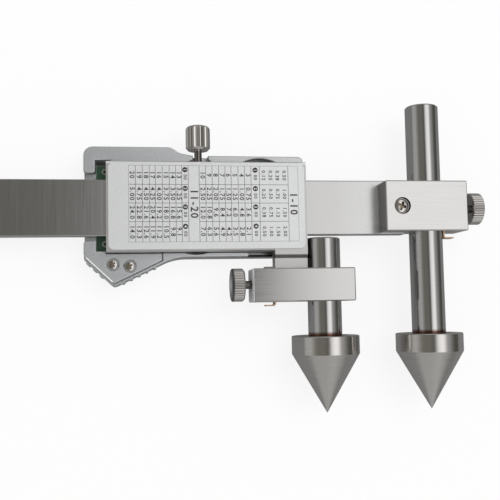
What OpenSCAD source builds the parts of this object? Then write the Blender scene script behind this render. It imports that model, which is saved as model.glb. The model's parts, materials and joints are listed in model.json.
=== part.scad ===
// Centre-distance caliper: a digital caliper whose jaws carry two cones on round rods.
// It lies on its display side, so its plain back faces up. X runs along the beam.
// Everything is drawn from the datum, which is where the fixed rod's axis crosses
// the beam's centre line, and is then set down with its middle over the origin.

/* [Beam] */
// Width of the beam, across its guiding edges
beam_w = 16; // [15:0.25:17]
// Thickness of the beam
beam_t = 4; // [3.6:0.1:4.6]
// Largest centre distance that the scale reads
centre_max = 150; // [110:5:200]
// Centre distance as the caliper lies at rest
centre_rest = 31.15; // [28:0.05:50]
// Chamfer on the beam's long edges
beam_chamfer = 0.25; // [0.1:0.05:0.5]
// Length of beam left beyond the slider at full opening
beam_spare = 6.5; // [6:0.5:20]

/* [Rods and cones] */
// Diameter of both ground rods
rod_d = 9.7; // [9:0.1:10.2]
// Length of the fixed rod that stands above its cone
fixed_rod_len = 67.1; // [60:0.5:90]
// Length of the slider's rod that stands above its cone
slider_rod_len = 28; // [22:0.25:28.5]
// Diameter of both cones
cone_d = 19.4; // [17:0.2:20]
// Height of the cone's cylindrical rim
cone_rim_h = 5.15; // [3:0.05:8]
// Angle between the cone's two sides
cone_angle = 60; // [50:1:75]
// Depth that a rod sits in its cone
rod_seat = 6; // [4:0.25:8]
// Distance from the beam's centre line to the tops of the cones
cone_drop = 37.15; // [35:0.25:45]

/* [Blocks] */
// Thickness of both blocks
block_t = 11.1; // [10.8:0.1:12.5]
// Chamfer on the blocks' edges
block_chamfer = 0.3; // [0.1:0.05:0.6]
// Reach of the fixed block from the rod's axis towards the slider
fixed_block_left = 13.6; // [12.5:0.1:18]
// Reach of the fixed block from the rod's axis towards its clamp screw
fixed_block_right = 11.1; // [9.5:0.1:14]
// Height of the fixed block above the beam's centre line
fixed_block_up = 7; // [6:0.1:7.8]
// Depth of the fixed block below the beam's centre line
fixed_block_down = 7.6; // [6:0.1:7.8]
// Distance from the rod's axis to the beam's end inside the fixed block
beam_end = 6; // [5.6:0.1:7]
// Reach of the slider's block from the rod's axis towards its clamp screw
slider_block_left = 21.25; // [19:0.25:26]
// Reach of the slider's block past the rod's axis
slider_block_right = 7.9; // [6.5:0.1:8.5]
// Height of the slider's block
slider_block_h = 9.45; // [8:0.05:12]
// Distance from the beam's centre line to the top of the slider's block
slider_block_drop = 17.9; // [17.6:0.1:22]

/* [Clamps] */
// Diameter of the clamp knobs
clamp_knob_d = 9.4; // [8:0.1:10.5]
// Length of the clamp knobs
clamp_knob_len = 3.65; // [3.2:0.05:6]
// Gap between a clamp knob and its block
clamp_knob_gap = 2.1; // [1:0.1:4]
// Diameter of the clamp screws' stems
clamp_stem_d = 2.3; // [2:0.1:3]
// Thickness of the copper leaves
leaf_t = 0.4; // [0.3:0.05:0.6]
// Width of the copper leaves
leaf_w = 3.2; // [2.4:0.1:4]
// Length of the leaves' bent feet
leaf_foot = 2.9; // [2:0.1:4]

/* [Slider] */
// Length of the slider's steel frame
frame_len = 56.75; // [56:0.25:60]
// Width of the frame, across the beam
frame_w = 25.5; // [25:0.1:25.8]
// Thickness of the frame's web behind the beam
web_t = 3.16; // [2.4:0.02:4]
// Width of the jaw stub that carries the slider's block
stub_w = 9.45; // [8:0.05:11]
// Thickness of the jaw stub
stub_t = 4.4; // [3.6:0.1:4.8]
// Thickness of the back plate
plate_t = 0.5; // [0.3:0.05:0.8]
// Margin of the frame round the back plate
plate_margin = 0.55; // [0.3:0.05:1]
// Corner radius of the back plate
plate_r = 1.5; // [0.5:0.1:3]
// Thickness of the gib strip
gib_t = 1.05; // [0.8:0.05:1.3]

/* [Lock screw] */
// Diameter of the lock screw's knob
lock_knob_d = 7; // [6:0.1:8.5]
// Length of the lock screw's knob
lock_knob_len = 7.15; // [6:0.05:10]
// Diameter of the lock screw's stem
lock_stem_d = 2.16; // [1.8:0.02:2.8]
// Height of the knob's underside above the frame
lock_lift = 3.8; // [3.2:0.05:6]

/* [Housing] */
// Depth of the hollow in front of the circuit board
cavity_depth = 4.4; // [4.2:0.1:5.5]
// Thickness of the housing's front wall
floor_t = 1.2; // [1:0.1:1.6]
// Height of the front rim that the caliper rests on
front_rim = 0.9; // [0.8:0.1:1.5]
// Level of the housing's back edge below the beam's back
rim_drop = 0.5; // [0.2:0.1:1.2]
// Pitch of the ribs on the thumb rest
rib_pitch = 2.5; // [2:0.1:3]
// Radius of one rib
rib_r = 0.65; // [0.4:0.05:0.8]
// Thickness of the thumb rest's cover
cover_t = 1.6; // [1.4:0.1:2]
// Thickness of the circuit board
board_t = 1.2; // [0.8:0.1:1.6]
// Diameter of the coin cell
cell_d = 20; // [16:0.5:20]
// Thickness of the coin cell
cell_t = 3.2; // [2.5:0.1:3.3]
// Diameter of the buttons
button_d = 4.6; // [3.6:0.1:5]
// Travel of a button
button_travel = 0.4; // [0.2:0.05:0.4]

/* [Hidden] */
$fn = 64;
overrun = 1;

// Fits and clearances
slide_gap = 0.04;
turn_gap = 0.05;
rod_gap = 0.03;
stub_gap = 0.08;
seat_gap = 0.2;
moving_gap = 0.3;

// Levels, from the display side to the back
beam_back = beam_t / 2;
beam_front = -beam_back;
frame_back = beam_back + slide_gap + web_t;
scale_t = 0.4;
film_t = 0.15;
film_front = beam_front - scale_t - film_t;
board_gap = 0.35;
board_back = film_front - board_gap;
board_front = board_back - board_t;
floor_back = board_front - cavity_depth;
floor_front = floor_back - floor_t;
rest_level = floor_front - front_rim;
rim_level = beam_back - rim_drop;
rod_z = beam_front + block_t / 2;
block_back = beam_front + block_t;

// Knob shapes
clamp_crown = 0.1;
clamp_flutes = 36;
clamp_base = [0.5, 0.5];
clamp_shoulder = [0.45, 0.4];
lock_crown = 0.6;
lock_flutes = 22;
lock_base = [0.65, 0.75];
lock_shoulder = [1.5, 1.1];
flute_depth = 0.22;
flute_land = 0.06;

// Places along the beam
rod_r = rod_d / 2;
slider_x = -centre_rest;
frame_right = -rod_r - turn_gap;
frame_left = frame_right - frame_len;
beam_left = slider_x - (centre_max - centre_rest) + frame_left - beam_spare;
beam_right = -beam_end;
fixed_rod_top = fixed_rod_len - cone_drop;
slider_rod_top = slider_rod_len - cone_drop;
cone_tip_h = cone_d / 2 / tan(cone_angle / 2);
cone_bottom = -cone_drop - cone_rim_h - cone_tip_h;
right_end = fixed_block_right + clamp_knob_gap + clamp_knob_len + clamp_crown;

// Blocks, their screws and leaves
fixed_screw_from_rod = 3.85;
fixed_screw_x = -rod_r - fixed_screw_from_rod;
fixed_screw_y = -0.35;
fixed_screw_head_d = 4.4;
fixed_screw_head_h = 1.6;
fixed_screw_sink = 0.5;
fixed_screw_bore_d = 4.9;
fixed_screw_d = 2.5;
fixed_clamp_y = -0.7;
slider_clamp_rise = 0.25;
slider_clamp_y = -slider_block_drop - slider_block_h / 2 + slider_clamp_rise;
fixed_leaf_foot = 3.2;
fixed_leaf_hang = 1.55;
slider_leaf_hang = 0.75;
leaf_lift = 0.2;
bore_flare = 0.35;
hole_flare = 0.4;

// End stop at the beam's free end
stop_len = 4.4;
stop_side = 2;
stop_w = beam_w - 2 * stop_side;
stop_t = 1.6;
stop_inset = 0.9;
stop_screw_d = 1.6;
stop_screw_head_d = 2.8;
stop_screw_head_h = 0.8;
stop_screw_edge = 2.5;
stop_screw_pitch = stop_w - 2 * stop_screw_edge;
stop_screw_depth = 2.4;

// Scale on the beam's front
scale_side = 2.25;
scale_w = beam_w - 2 * scale_side;
scale_inset = 3;
scale_end_gap = 2.4;
scale_clear = fixed_block_left + scale_end_gap;

// Frame
channel_low = beam_w / 2 + slide_gap;
channel_high = channel_low + gib_t + slide_gap;
stub_sunk = 0.6;
stub_back = frame_back - stub_sunk;
stub_front = stub_back - stub_t;
stub_shoulder = 1.1;
stub_step = 1;
stub_end = slider_block_drop + slider_block_h - seat_gap;
frame_chamfer = 0.3;
gib_inset = 0.75;
gib_h_share = 0.96;
gib_screw_d = 2;
gib_screw_slot = 0.4;
gib_screw_slot_depth = 0.6;
gib_screw_sink = 0.3;
gib_screw_ends = [9.65, 8.1];
gib_screw_xs = [frame_left + gib_screw_ends[0], frame_right - gib_screw_ends[1]];
case_screw_d = 1.6;
case_screw_head_d = 2.9;
case_screw_head_h = 1.1;
case_screw_edge = 2.35;
case_screw_y = frame_w / 2 - case_screw_edge;
case_screw_inset = 3.4;
case_screw_xs = [frame_left + case_screw_inset, frame_right - case_screw_inset];
case_screw_bite = 3.2;
screw_gap = 0.08;
lock_from_end = 26;
lock_x = frame_left + lock_from_end;
lock_z = 1.2;
lock_y = frame_w / 2 + lock_lift;

// Housing outline, in places from the slider rod's axis
case_right = frame_right;
case_reach = 6.4;
case_left = frame_left - case_reach;
case_over = 2.35;
case_top = frame_w / 2 + case_over;
case_under = 1.3;
case_bottom = frame_w / 2 + case_under;
case_r = 1.6;
arm_over = 4.8;
arm_top = frame_w / 2 + arm_over;
arm_r = 2.6;
arm_foot_from_lock = 5.35;
arm_foot_x = lock_x - arm_foot_from_lock;
arm_foot_run = 2.5;
arm_end_x = arm_foot_x - arm_foot_run;
arm_end_r = 3;
arm_foot_over = 3.1;
arm_foot_y = frame_w / 2 + arm_foot_over;
arm_foot_r = 4;
arm_hollow_over = 0.85;
arm_hollow = frame_w / 2 + arm_hollow_over;
arm_corner_r = 0.8;
heel_from_end = 1.85;
heel_x = frame_left + heel_from_end;
heel_drop = 8.7;
heel_y = -frame_w / 2 - heel_drop;
heel_r = 1.3;
heel_left_slope = 0.949;
heel_right_slope = 0.475;
rib_band = 0.75;
toe_r = 15;
left_corner_r = 1.5;
case_gap = 0.2;
wall_left = 3.25;
wall_right = 2;
beam_way_over = 1.9;
beam_way_up = beam_w / 2 + beam_way_over;
beam_way_under = 1.6;
beam_way_down = beam_w / 2 + beam_way_under;
notch_reaches = [1.5, 2.9];
notch_left = lock_x - notch_reaches[0];
notch_right = lock_x + notch_reaches[1];
notch_front = -1.8;
notch_flare = 2.6;
notch_flare_over = 1.15;
notch_flare_y = frame_w / 2 + notch_flare_over;
rim_cut_len = 16.7;
rim_cut_x = frame_right - rim_cut_len;
rim_cut_level = -1.6;
rim_cut_wall = 0.6;
scallop_r = 10.6;
scallop_ends = [13, 25.2];
scallop_overs = [1.65, 0.7];
scallop_top_x = frame_right - scallop_ends[0];
scallop_top_reach = frame_w / 2 + scallop_overs[0];
scallop_bottom_x = frame_left + scallop_ends[1];
scallop_bottom_reach = frame_w / 2 + scallop_overs[1];

// Thumb rest
cover_laps = [0.5, 0.25];
cover_reach = 13.6;
cover_top_y = cover_laps[0] - frame_w / 2;
cover_arm_y = cover_laps[1] - beam_way_down;
cover_right_x = heel_x + cover_reach;
cover_r = 0.9;
cover_gap = 0.22;
cover_recess_d = 3.5;
cover_recess = 0.9;
cover_screw_d = 1.5;
cover_screw_head_d = 2.7;
cover_screw_head_h = 0.8;
cover_screw_bite = 4;
cover_screw_shifts = [[-0.25, 5.45], [4.45, 4.95]];
cover_screw_places = [for (shift = cover_screw_shifts) [heel_x, heel_y] + shift];
cross_w_share = 0.2;
cross_len_share = 0.62;
cross_depth_share = 0.6;
thumb_wall = 1.6;
thumb_boss_d = 3.3;
left_ribs = 3;
right_ribs = 5;
left_rib_start = 4.5;
right_rib_start = 2.8;
rib_sink = 0.3;
rib_end_gap = 0.6;

// Battery and its cover
cell_side = 3;
cell_x = case_right - cell_side - cell_d / 2;
cell_y = 0.8;
cell_rim_t = 0.4;
cell_cap_share = 0.86;
cell_hole_gap = 0.3;
lid_t = 1.1;
lid_sunk = 0.2;
lid_side = 0.9;
lid_end = 1.8;
lid_w = cell_d + 2 * lid_side;
lid_len = cell_d + 2 * lid_end;
lid_tongue = 0.6;
lid_tongue_t = 0.45;
lid_gap = 0.3;
lid_ridges = 4;
lid_ridge_pitch = 1.6;
lid_ridge_w = 0.7;
lid_ridge_depth = 0.3;
lid_ridge_len = 9;
lid_front = rest_level + lid_sunk;
lid_back = lid_front + lid_t;
cell_front = lid_back + lid_gap;
contact_t = 0.3;
contact_w = 4;
contact_foot = 2.6;

// Board and display
board_inset = 0.15;
board_edge = 0.15;
ledge = 0.85;
ledge_side = 1.75;
case_boss_d = 3.4;
peg_d = 1.1;
peg_boss_d = 2.8;
peg_hole_gap = 0.1;
peg_from_frame = 0.65;
peg_edges = [1.75, 2.85];
peg_x = frame_left - peg_from_frame;
peg_ys = [frame_w / 2 - peg_edges[0], peg_edges[1] - frame_w / 2];
chip_d = 5.2;
chip_h = 0.9;
chip_from_cell = 3.1;
chip_x = cell_x - cell_d / 2 - chip_from_cell;
lcd_reach = 1.85;
lcd_from_cell = 5.6;
lcd_left = frame_left - lcd_reach;
lcd_right = cell_x - cell_d / 2 - lcd_from_cell;
lcd_x = (lcd_left + lcd_right) / 2;
lcd_len = lcd_right - lcd_left;
lcd_edge = 4.15;
lcd_low = -4;
lcd_h = frame_w / 2 - lcd_edge - lcd_low;
lcd_y = lcd_low + lcd_h / 2;
lcd_t = 2;
window_frame = [1.75, 1.4];
window_len = lcd_len - 2 * window_frame.x;
window_h = lcd_h - 2 * window_frame.y;
window_proud = 0.2;
connector_w = 1.5;
connector_end = 1.5;
connector_len = lcd_len - 2 * connector_end;
connector_inset = 0.9;
switch_w = 4.2;
switch_h = 1.6;
plunger_d = 2.2;
plunger_h = 0.8;

// Buttons
button_pitch = 7.5;
button_shift = 2;
button_edge = 4.95;
button_y = button_edge - frame_w / 2;
button_xs = [for (i = [-1:1]) lcd_x + button_shift + i * button_pitch];
chip_rise = 1.2;
chip_y = button_y + chip_rise;
button_sunk = 0.2;
button_flange = 0.6;
button_flange_t = 0.6;
button_stem_d = 2.4;
button_stem_end = board_front - switch_h - plunger_h - button_travel - moving_gap;

// Front plate
face_t = 0.4;
face_margin = 1.2;
face_to_lid = 1.7;
face_right_x = case_right - lid_len - face_to_lid;
face_gap = 0.1;

// The whole caliper's middle, and the height of the datum above the floor
mid_x = (beam_left + right_end) / 2;
mid_y = (fixed_rod_top + cone_bottom) / 2;

// Helpers

// Unit vector
function unit(v) = v / norm(v);

// Points of the arc that rounds the corner p between its neighbours a and b
function corner_arc(a, p, b, r, steps) =
    let (to_a = unit(a - p), to_b = unit(b - p))
    let (half = acos(to_a * to_b) / 2)
    let (centre = p + unit(to_a + to_b) * r / sin(half))
    let (start = p + to_a * r / tan(half) - centre, stop = p + to_b * r / tan(half) - centre)
    let (from = atan2(start.y, start.x), turn = atan2(stop.y, stop.x) - from)
    let (sweep = turn > 180 ? turn - 360 : turn < -180 ? turn + 360 : turn)
    [for (i = [0:steps]) centre + r * [cos(from + sweep * i / steps), sin(from + sweep * i / steps)]];

// Outline whose corners [x, y, radius] are rounded
function rounded(corners, steps = 8) =
    let (n = len(corners), xy = [for (c = corners) [c.x, c.y]])
    [for (i = [0:n - 1]) each corners[i].z == 0
        ? [xy[i]]
        : corner_arc(xy[(i + n - 1) % n], xy[i], xy[(i + 1) % n], corners[i].z, steps)];

// Rectangle between two corners
module box2(low, high) {
    translate(low) square(high - low);
}

// Box between two corners
module box(low, high) {
    translate(low) cube(high - low);
}

// Box whose twelve edges are chamfered
module chamfered_box(low, high, c) {
    size = high - low;
    module face(w, h) {
        polygon([[c, 0], [w - c, 0], [w, c], [w, h - c], [w - c, h], [c, h], [0, h - c], [0, c]]);
    }
    translate(low) intersection() {
        linear_extrude(size.z) face(size.x, size.y);
        translate([0, size.y, 0]) rotate([90, 0, 0]) linear_extrude(size.y) face(size.x, size.z);
        rotate([90, 0, 90]) linear_extrude(size.x) face(size.y, size.z);
    }
}

// Moves from the slider's own places to the datum
module on_slider() {
    translate([slider_x, 0, 0]) children();
}

// Sets the caliper down, middle over the origin
module set_down() {
    translate([-mid_x, -mid_y, -rest_level]) children();
}

// Cylinder along +Y from a point
module rod_y(from, d, length) {
    translate(from) rotate([-90, 0, 0]) cylinder(d = d, h = length);
}

// Cylinder along +Z between two levels
module post(x, y, low, high, d) {
    translate([x, y, low]) cylinder(d = d, h = high - low);
}

// Cross recess cut into a head that faces +Z
module cross_recess(head_d, head_h) {
    depth = head_h * cross_depth_share;
    arm = [head_d * cross_len_share, head_d * cross_w_share, depth + overrun];
    for (turn = [0, 90])
        rotate(turn) translate([-arm.x / 2, -arm.y / 2, -depth]) cube(arm);
}

// Pan head screw that stands on its seat at z = 0
module pan_screw(head_d, head_h, d, length) {
    crown_share = 0.45;
    difference() {
        union() {
            cylinder(d = head_d, h = head_h * (1 - crown_share));
            translate([0, 0, head_h * (1 - crown_share)])
                cylinder(d1 = head_d, d2 = head_d * (1 - crown_share / 2), h = head_h * crown_share);
            translate([0, 0, -length]) cylinder(d = d, h = length);
        }
        translate([0, 0, head_h]) cross_recess(head_d, head_h);
    }
}

// Fluted knob along +Z from z = 0, rounded and crowned at its far end, with its stem below.
// base and shoulder are how far each end draws in, and over what length.
module knob(d, length, crown, flutes, base, shoulder, stem_d, stem_len) {
    r = d / 2;
    flute_angle = 360 / flutes;
    steps = 5;
    intersection() {
        linear_extrude(length + crown + overrun)
            polygon([for (i = [0:flutes - 1], half = [0, 1])
                let (a = (i + half / 2) * flute_angle)
                let (out = half == 0 ? r + flute_land : r - flute_depth)
                [out * cos(a), out * sin(a)]]);
        rotate_extrude() polygon([
            [0, 0], [r - base.x, 0], [r, base.y],
            for (i = [0:steps]) let (a = 90 * i / steps)
                [r - shoulder.x * (1 - cos(a)), length - shoulder.y * (1 - sin(a))],
            [0, length + crown],
        ]);
    }
    translate([0, 0, -stem_len]) cylinder(d = stem_d, h = stem_len + base.y);
}

// Copper leaf: a strip along Y with its feet bent towards +X, its inner face at x = 0
module leaf(low, high, foot) {
    bend_r = leaf_t * 2;
    module bend() {
        intersection() {
            difference() {
                circle(r = bend_r);
                circle(r = bend_r - leaf_t);
            }
            translate([-bend_r, 0]) square(bend_r);
        }
    }
    translate([0, 0, -leaf_w / 2]) linear_extrude(leaf_w) {
        box2([0, low + bend_r], [leaf_t, high - bend_r]);
        translate([bend_r, high - bend_r]) bend();
        translate([bend_r, low + bend_r]) mirror([0, 1]) bend();
        box2([bend_r, high - leaf_t], [foot, high]);
        box2([bend_r, low], [foot, low + leaf_t]);
    }
}

// Beam group

module beam() {
    half = beam_w / 2;
    c = beam_chamfer;
    set_down() color("lightsteelblue") difference() {
        translate([beam_left, 0, 0]) rotate([90, 0, 90]) linear_extrude(beam_right - beam_left)
            polygon([
                [-half + c, beam_front], [half - c, beam_front], [half, beam_front + c],
                [half, beam_back - c], [half - c, beam_back], [-half + c, beam_back],
                [-half, beam_back - c], [-half, beam_front + c],
            ]);
        post(fixed_screw_x, fixed_screw_y, beam_front - overrun, beam_back + overrun, fixed_screw_d);
        for (side = [-1, 1])
            post(stop_x(), side * stop_screw_pitch / 2, beam_back - stop_screw_depth,
                beam_back + overrun, stop_screw_d);
    }
}

// Middle of the end stop along the beam
function stop_x() = beam_left + stop_inset + stop_len / 2;

module capacitive_scale() {
    set_down() color("darkgreen")
        box([beam_left + scale_inset, -scale_w / 2, beam_front - scale_t],
            [-scale_clear, scale_w / 2, beam_front]);
}

module scale_film() {
    set_down() color("gainsboro")
        box([beam_left + scale_inset, -scale_w / 2, film_front],
            [-scale_clear, scale_w / 2, beam_front - scale_t]);
}

module end_stop() {
    set_down() color("silver") difference() {
        chamfered_box([beam_left + stop_inset, -stop_w / 2, beam_back],
            [beam_left + stop_inset + stop_len, stop_w / 2, beam_back + stop_t], beam_chamfer);
        for (side = [-1, 1])
            post(stop_x(), side * stop_screw_pitch / 2, beam_back - overrun,
                beam_back + stop_t + overrun, stop_screw_d);
    }
}

module end_stop_screws() {
    set_down() color("gray") for (side = [-1, 1])
        translate([stop_x(), side * stop_screw_pitch / 2, beam_back + stop_t])
            pan_screw(stop_screw_head_d, stop_screw_head_h, stop_screw_d, stop_t + stop_screw_depth);
}

// Bore for a rod along Y, flared at both mouths
module rod_bore(x, low, high) {
    d = rod_d + 2 * rod_gap;
    rod_y([x, low - overrun, rod_z], d, high - low + 2 * overrun);
    for (end = [[low, -1], [high, 1]])
        translate([x, end[0], rod_z]) rotate([-90 * end[1], 0, 0])
            translate([0, 0, -bore_flare]) cylinder(d1 = d, d2 = d + 2 * bore_flare, h = bore_flare);
}

// Threaded hole for a clamp stem from a block's end face, with its countersink
module clamp_hole(x, y, towards, length) {
    d = clamp_stem_d + 2 * turn_gap;
    translate([x, y, rod_z]) rotate([0, 90 * towards, 0]) {
        translate([0, 0, -overrun]) cylinder(d = d, h = length + overrun);
        cylinder(d1 = d + 2 * hole_flare, d2 = d, h = hole_flare);
    }
}

// Slot through a block for a leaf, whose inner face is at x
module leaf_slot(x, towards, low, high) {
    deep = leaf_t + 2 * turn_gap;
    half = leaf_w / 2 + stub_gap;
    translate([x, 0, rod_z]) scale([towards, 1, 1])
        box([-rod_r / 2, low - overrun, -half], [deep, high + overrun, half]);
}

module fixed_block() {
    clamp_face = rod_r + leaf_t + turn_gap;
    set_down() color("silver") difference() {
        chamfered_box([-fixed_block_left, -fixed_block_down, beam_front],
            [fixed_block_right, fixed_block_up, block_back], block_chamfer);
        box([-fixed_block_left - overrun, -beam_w, beam_front - overrun],
            [beam_right, beam_w, beam_back]);
        rod_bore(0, -fixed_block_down, fixed_block_up);
        leaf_slot(rod_r + turn_gap, 1, -fixed_block_down, fixed_block_up);
        clamp_hole(fixed_block_right, fixed_clamp_y, -1, fixed_block_right - clamp_face);
        post(fixed_screw_x, fixed_screw_y, beam_back - overrun, block_back, fixed_screw_d);
        post(fixed_screw_x, fixed_screw_y, block_back - fixed_screw_sink - fixed_screw_head_h,
            block_back + overrun, fixed_screw_bore_d);
    }
}

module fixed_block_screw() {
    seat = block_back - fixed_screw_sink - fixed_screw_head_h;
    set_down() color("gainsboro") translate([fixed_screw_x, fixed_screw_y, seat])
        pan_screw(fixed_screw_head_d, fixed_screw_head_h, fixed_screw_d, seat - beam_front);
}

module fixed_clamp_leaf() {
    set_down() color("sienna") translate([rod_r + turn_gap, 0, rod_z])
        leaf(-fixed_block_down - fixed_leaf_hang - leaf_t, fixed_block_up + leaf_lift + leaf_t,
            fixed_leaf_foot);
}

// Rod along Y with small chamfered ends
module ground_rod(x, low, high) {
    c = rod_d * 0.04;
    set_down() color("gray") translate([x, low, rod_z]) rotate([-90, 0, 0])
        rotate_extrude() polygon([
            [0, 0], [rod_r, 0], [rod_r, high - low - c], [rod_r - c, high - low], [0, high - low],
        ]);
}

// Measuring cone, point down, with the dished top that the rod sits in
module measuring_cone(x) {
    r = cone_d / 2;
    dish = 0.6;
    dish_r = (rod_r + r) / 2 - dish;
    edge = 0.2;
    set_down() color("darkgray") translate([x, -cone_drop, rod_z]) rotate([90, 0, 0])
        rotate_extrude() polygon([
            [0, rod_seat], [rod_r, rod_seat], [rod_r, dish], [dish_r, dish], [dish_r + dish, 0],
            [r - edge, 0], [r, edge], [r, cone_rim_h], [0, cone_rim_h + cone_tip_h],
        ]);
}

module fixed_rod() {
    ground_rod(0, -cone_drop - rod_seat, fixed_rod_top);
}

module fixed_cone() {
    measuring_cone(0);
}

// Clamp screw outside a block's end face, pointing away from the block
module clamp_screw(x, y, towards, stem_end) {
    set_down() color("tan") translate([x + towards * clamp_knob_gap, y, rod_z])
        rotate([0, 90 * towards, 0])
        knob(clamp_knob_d, clamp_knob_len, clamp_crown, clamp_flutes, clamp_base, clamp_shoulder,
            clamp_stem_d, clamp_knob_gap + stem_end);
}

module fixed_clamp_screw() {
    tip = rod_r + leaf_t + 2 * turn_gap;
    clamp_screw(fixed_block_right, fixed_clamp_y, 1, fixed_block_right - tip);
}

// Slider group

// Section of the jaw stub across the slider, with its sloped shoulder
module stub_section() {
    half = frame_w / 2;
    shoulder = half + stub_shoulder;
    polygon([
        [-half + overrun, frame_back], [-shoulder, frame_back],
        [-shoulder - stub_step, stub_back], [-stub_end, stub_back],
        [-stub_end, stub_front], [-half + overrun, stub_front],
    ]);
}

module slider_frame() {
    half = frame_w / 2;
    c = frame_chamfer;
    length = frame_right - frame_left;
    set_down() on_slider() color("silver") difference() {
        union() {
            translate([frame_left, 0, 0]) rotate([90, 0, 90]) linear_extrude(length) polygon([
                [-half, board_back], [-channel_low, board_back],
                [-channel_low, beam_back + slide_gap], [channel_high, beam_back + slide_gap],
                [channel_high, board_back], [half, board_back],
                [half, frame_back - c], [half - c, frame_back],
                [-half + c, frame_back], [-half, frame_back - c],
            ]);
            translate([frame_right - stub_w, 0, 0]) rotate([90, 0, 90]) linear_extrude(stub_w)
                stub_section();
        }
        rod_y([lock_x, channel_high - overrun, lock_z], lock_stem_d + 2 * turn_gap, half);
        for (x = gib_screw_xs)
            rod_y([x, channel_high - overrun, 0], gib_screw_d, half);
        for (x = case_screw_xs, side = [-1, 1]) {
            post(x, side * case_screw_y, board_back - overrun, frame_back, case_screw_d + 2 * screw_gap);
            post(x, side * case_screw_y, frame_back - case_screw_head_h, frame_back + overrun,
                case_screw_head_d + 2 * screw_gap);
        }
    }
}

module back_plate() {
    left = frame_left + plate_margin;
    right = frame_right - plate_margin;
    high = frame_w / 2 - plate_margin;
    set_down() on_slider() color("whitesmoke") translate([0, 0, frame_back]) linear_extrude(plate_t)
        polygon(rounded([
            [left, -high, plate_r], [right, -high, plate_r],
            [right, high, plate_r], [left, high, plate_r],
        ]));
}

module gib_strip() {
    half = beam_back * gib_h_share;
    set_down() on_slider() color("goldenrod")
        box([frame_left + gib_inset, channel_low, -half],
            [frame_right - gib_inset, channel_low + gib_t, half]);
}

module gib_screws() {
    low = channel_low + gib_t;
    high = frame_w / 2 - gib_screw_sink;
    set_down() on_slider() color("dimgray") for (x = gib_screw_xs) difference() {
        rod_y([x, low, 0], gib_screw_d, high - low);
        box([x - gib_screw_slot / 2, high - gib_screw_slot_depth, -gib_screw_d],
            [x + gib_screw_slot / 2, high + overrun, gib_screw_d]);
    }
}

module lock_screw() {
    tip = channel_high + moving_gap;
    set_down() on_slider() color("tan") translate([lock_x, lock_y, lock_z]) rotate([-90, 0, 0])
        knob(lock_knob_d, lock_knob_len, lock_crown, lock_flutes, lock_base, lock_shoulder,
            lock_stem_d, lock_y - tip);
}

// Corner where the ribbed left slope meets the housing's straight left side
function slope_left_y(band) = heel_y - band * sqrt(1 + heel_left_slope ^ 2)
    + (heel_x - case_left) * heel_left_slope;

// The heel's corner, moved outwards by a band
function heel(band) =
    let (rise = band * (sqrt(1 + heel_left_slope ^ 2) - sqrt(1 + heel_right_slope ^ 2)))
    let (shift = -rise / (heel_left_slope + heel_right_slope))
    [heel_x + shift, heel_y - band * sqrt(1 + heel_right_slope ^ 2) + shift * heel_right_slope];

// Place where the ribbed right slope meets the housing's straight lower side
function toe_x(band) = heel(band).x + (-case_bottom - heel(band).y) / heel_right_slope;

// Outer outline of the housing
function case_outline() = rounded([
    [case_right, -case_bottom, case_r],
    [case_right, case_top, case_r],
    [notch_left, case_top, 0],
    [arm_foot_x, arm_foot_y, arm_foot_r],
    [arm_end_x, arm_top, arm_end_r],
    [case_left, arm_top, arm_r],
    [case_left, slope_left_y(rib_band), left_corner_r],
    [heel(rib_band).x, heel(rib_band).y, heel_r],
    [toe_x(rib_band), -case_bottom, toe_r],
]);

// Outline of the thumb rest's cover
function cover_outline() = rounded([
    [case_left, cover_arm_y, cover_r],
    [case_left, slope_left_y(0), left_corner_r],
    [heel_x, heel_y, cover_r],
    [cover_right_x, heel_y + (cover_right_x - heel_x) * heel_right_slope, cover_r / 2],
    [cover_right_x, -frame_w / 2 - case_gap, cover_r / 2],
    [frame_left - case_gap, -frame_w / 2 - case_gap, 0],
    [frame_left - case_gap, cover_top_y, 0],
    [case_left + wall_left + case_gap, cover_top_y, 0],
    [case_left + wall_left + case_gap, cover_arm_y, cover_r / 2],
]);

// Space that the cover's seat takes out of the housing, open past the left slope
module cover_seat() {
    low = heel(cover_gap);
    far = 4;
    polygon([
        [case_left - far, cover_arm_y + cover_gap],
        [case_left + wall_left + case_gap, cover_arm_y + cover_gap],
        [case_left + wall_left + case_gap, -frame_w / 2],
        [cover_right_x + cover_gap, -frame_w / 2],
        [cover_right_x + cover_gap, low.y + (cover_right_x + cover_gap - low.x) * heel_right_slope],
        low, [low.x - far / 4, low.y - far], [case_left - far, low.y],
    ]);
}

// One row of ribs up a slope of the thumb rest, from the heel
module rib_row(count, start, angle, band) {
    foot = heel(band);
    for (i = [0:count - 1]) {
        along = start + i * rib_pitch;
        translate([foot.x + along * cos(angle), foot.y + along * sin(angle), rest_level + rib_end_gap])
            cylinder(r = rib_r, h = rim_level - cover_t - rest_level - rib_end_gap);
    }
}

// Hollow of the thumb rest under its cover
module thumb_hollow() {
    top = -case_bottom - case_gap;
    low = heel(-thumb_wall);
    polygon([
        low,
        [low.x + (top - low.y) / heel_right_slope, top],
        [max(low.x - (top - low.y) / heel_left_slope, case_left + thumb_wall), top],
    ]);
}

// Notch that the lock screw stands in, wider on the inside of the wall
module notch() {
    inner = frame_w / 2;
    box2([notch_left, inner], [notch_right, case_top + overrun]);
    polygon([
        [notch_left - notch_flare, inner], [notch_right + notch_flare / 2, inner],
        [notch_right, notch_flare_y], [notch_left, notch_flare_y],
    ]);
}

// What rounds off the end of the upper arm, beside the beam
module arm_corners() {
    r = arm_corner_r;
    for (corner = [[case_left, 1], [case_left + wall_left, -1]])
        translate([corner.x, beam_way_up]) scale([corner.y, 1]) difference() {
            translate([-overrun, -overrun]) square([r + overrun, r + overrun]);
            translate([r, r]) circle(r = r);
        }
}

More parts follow.
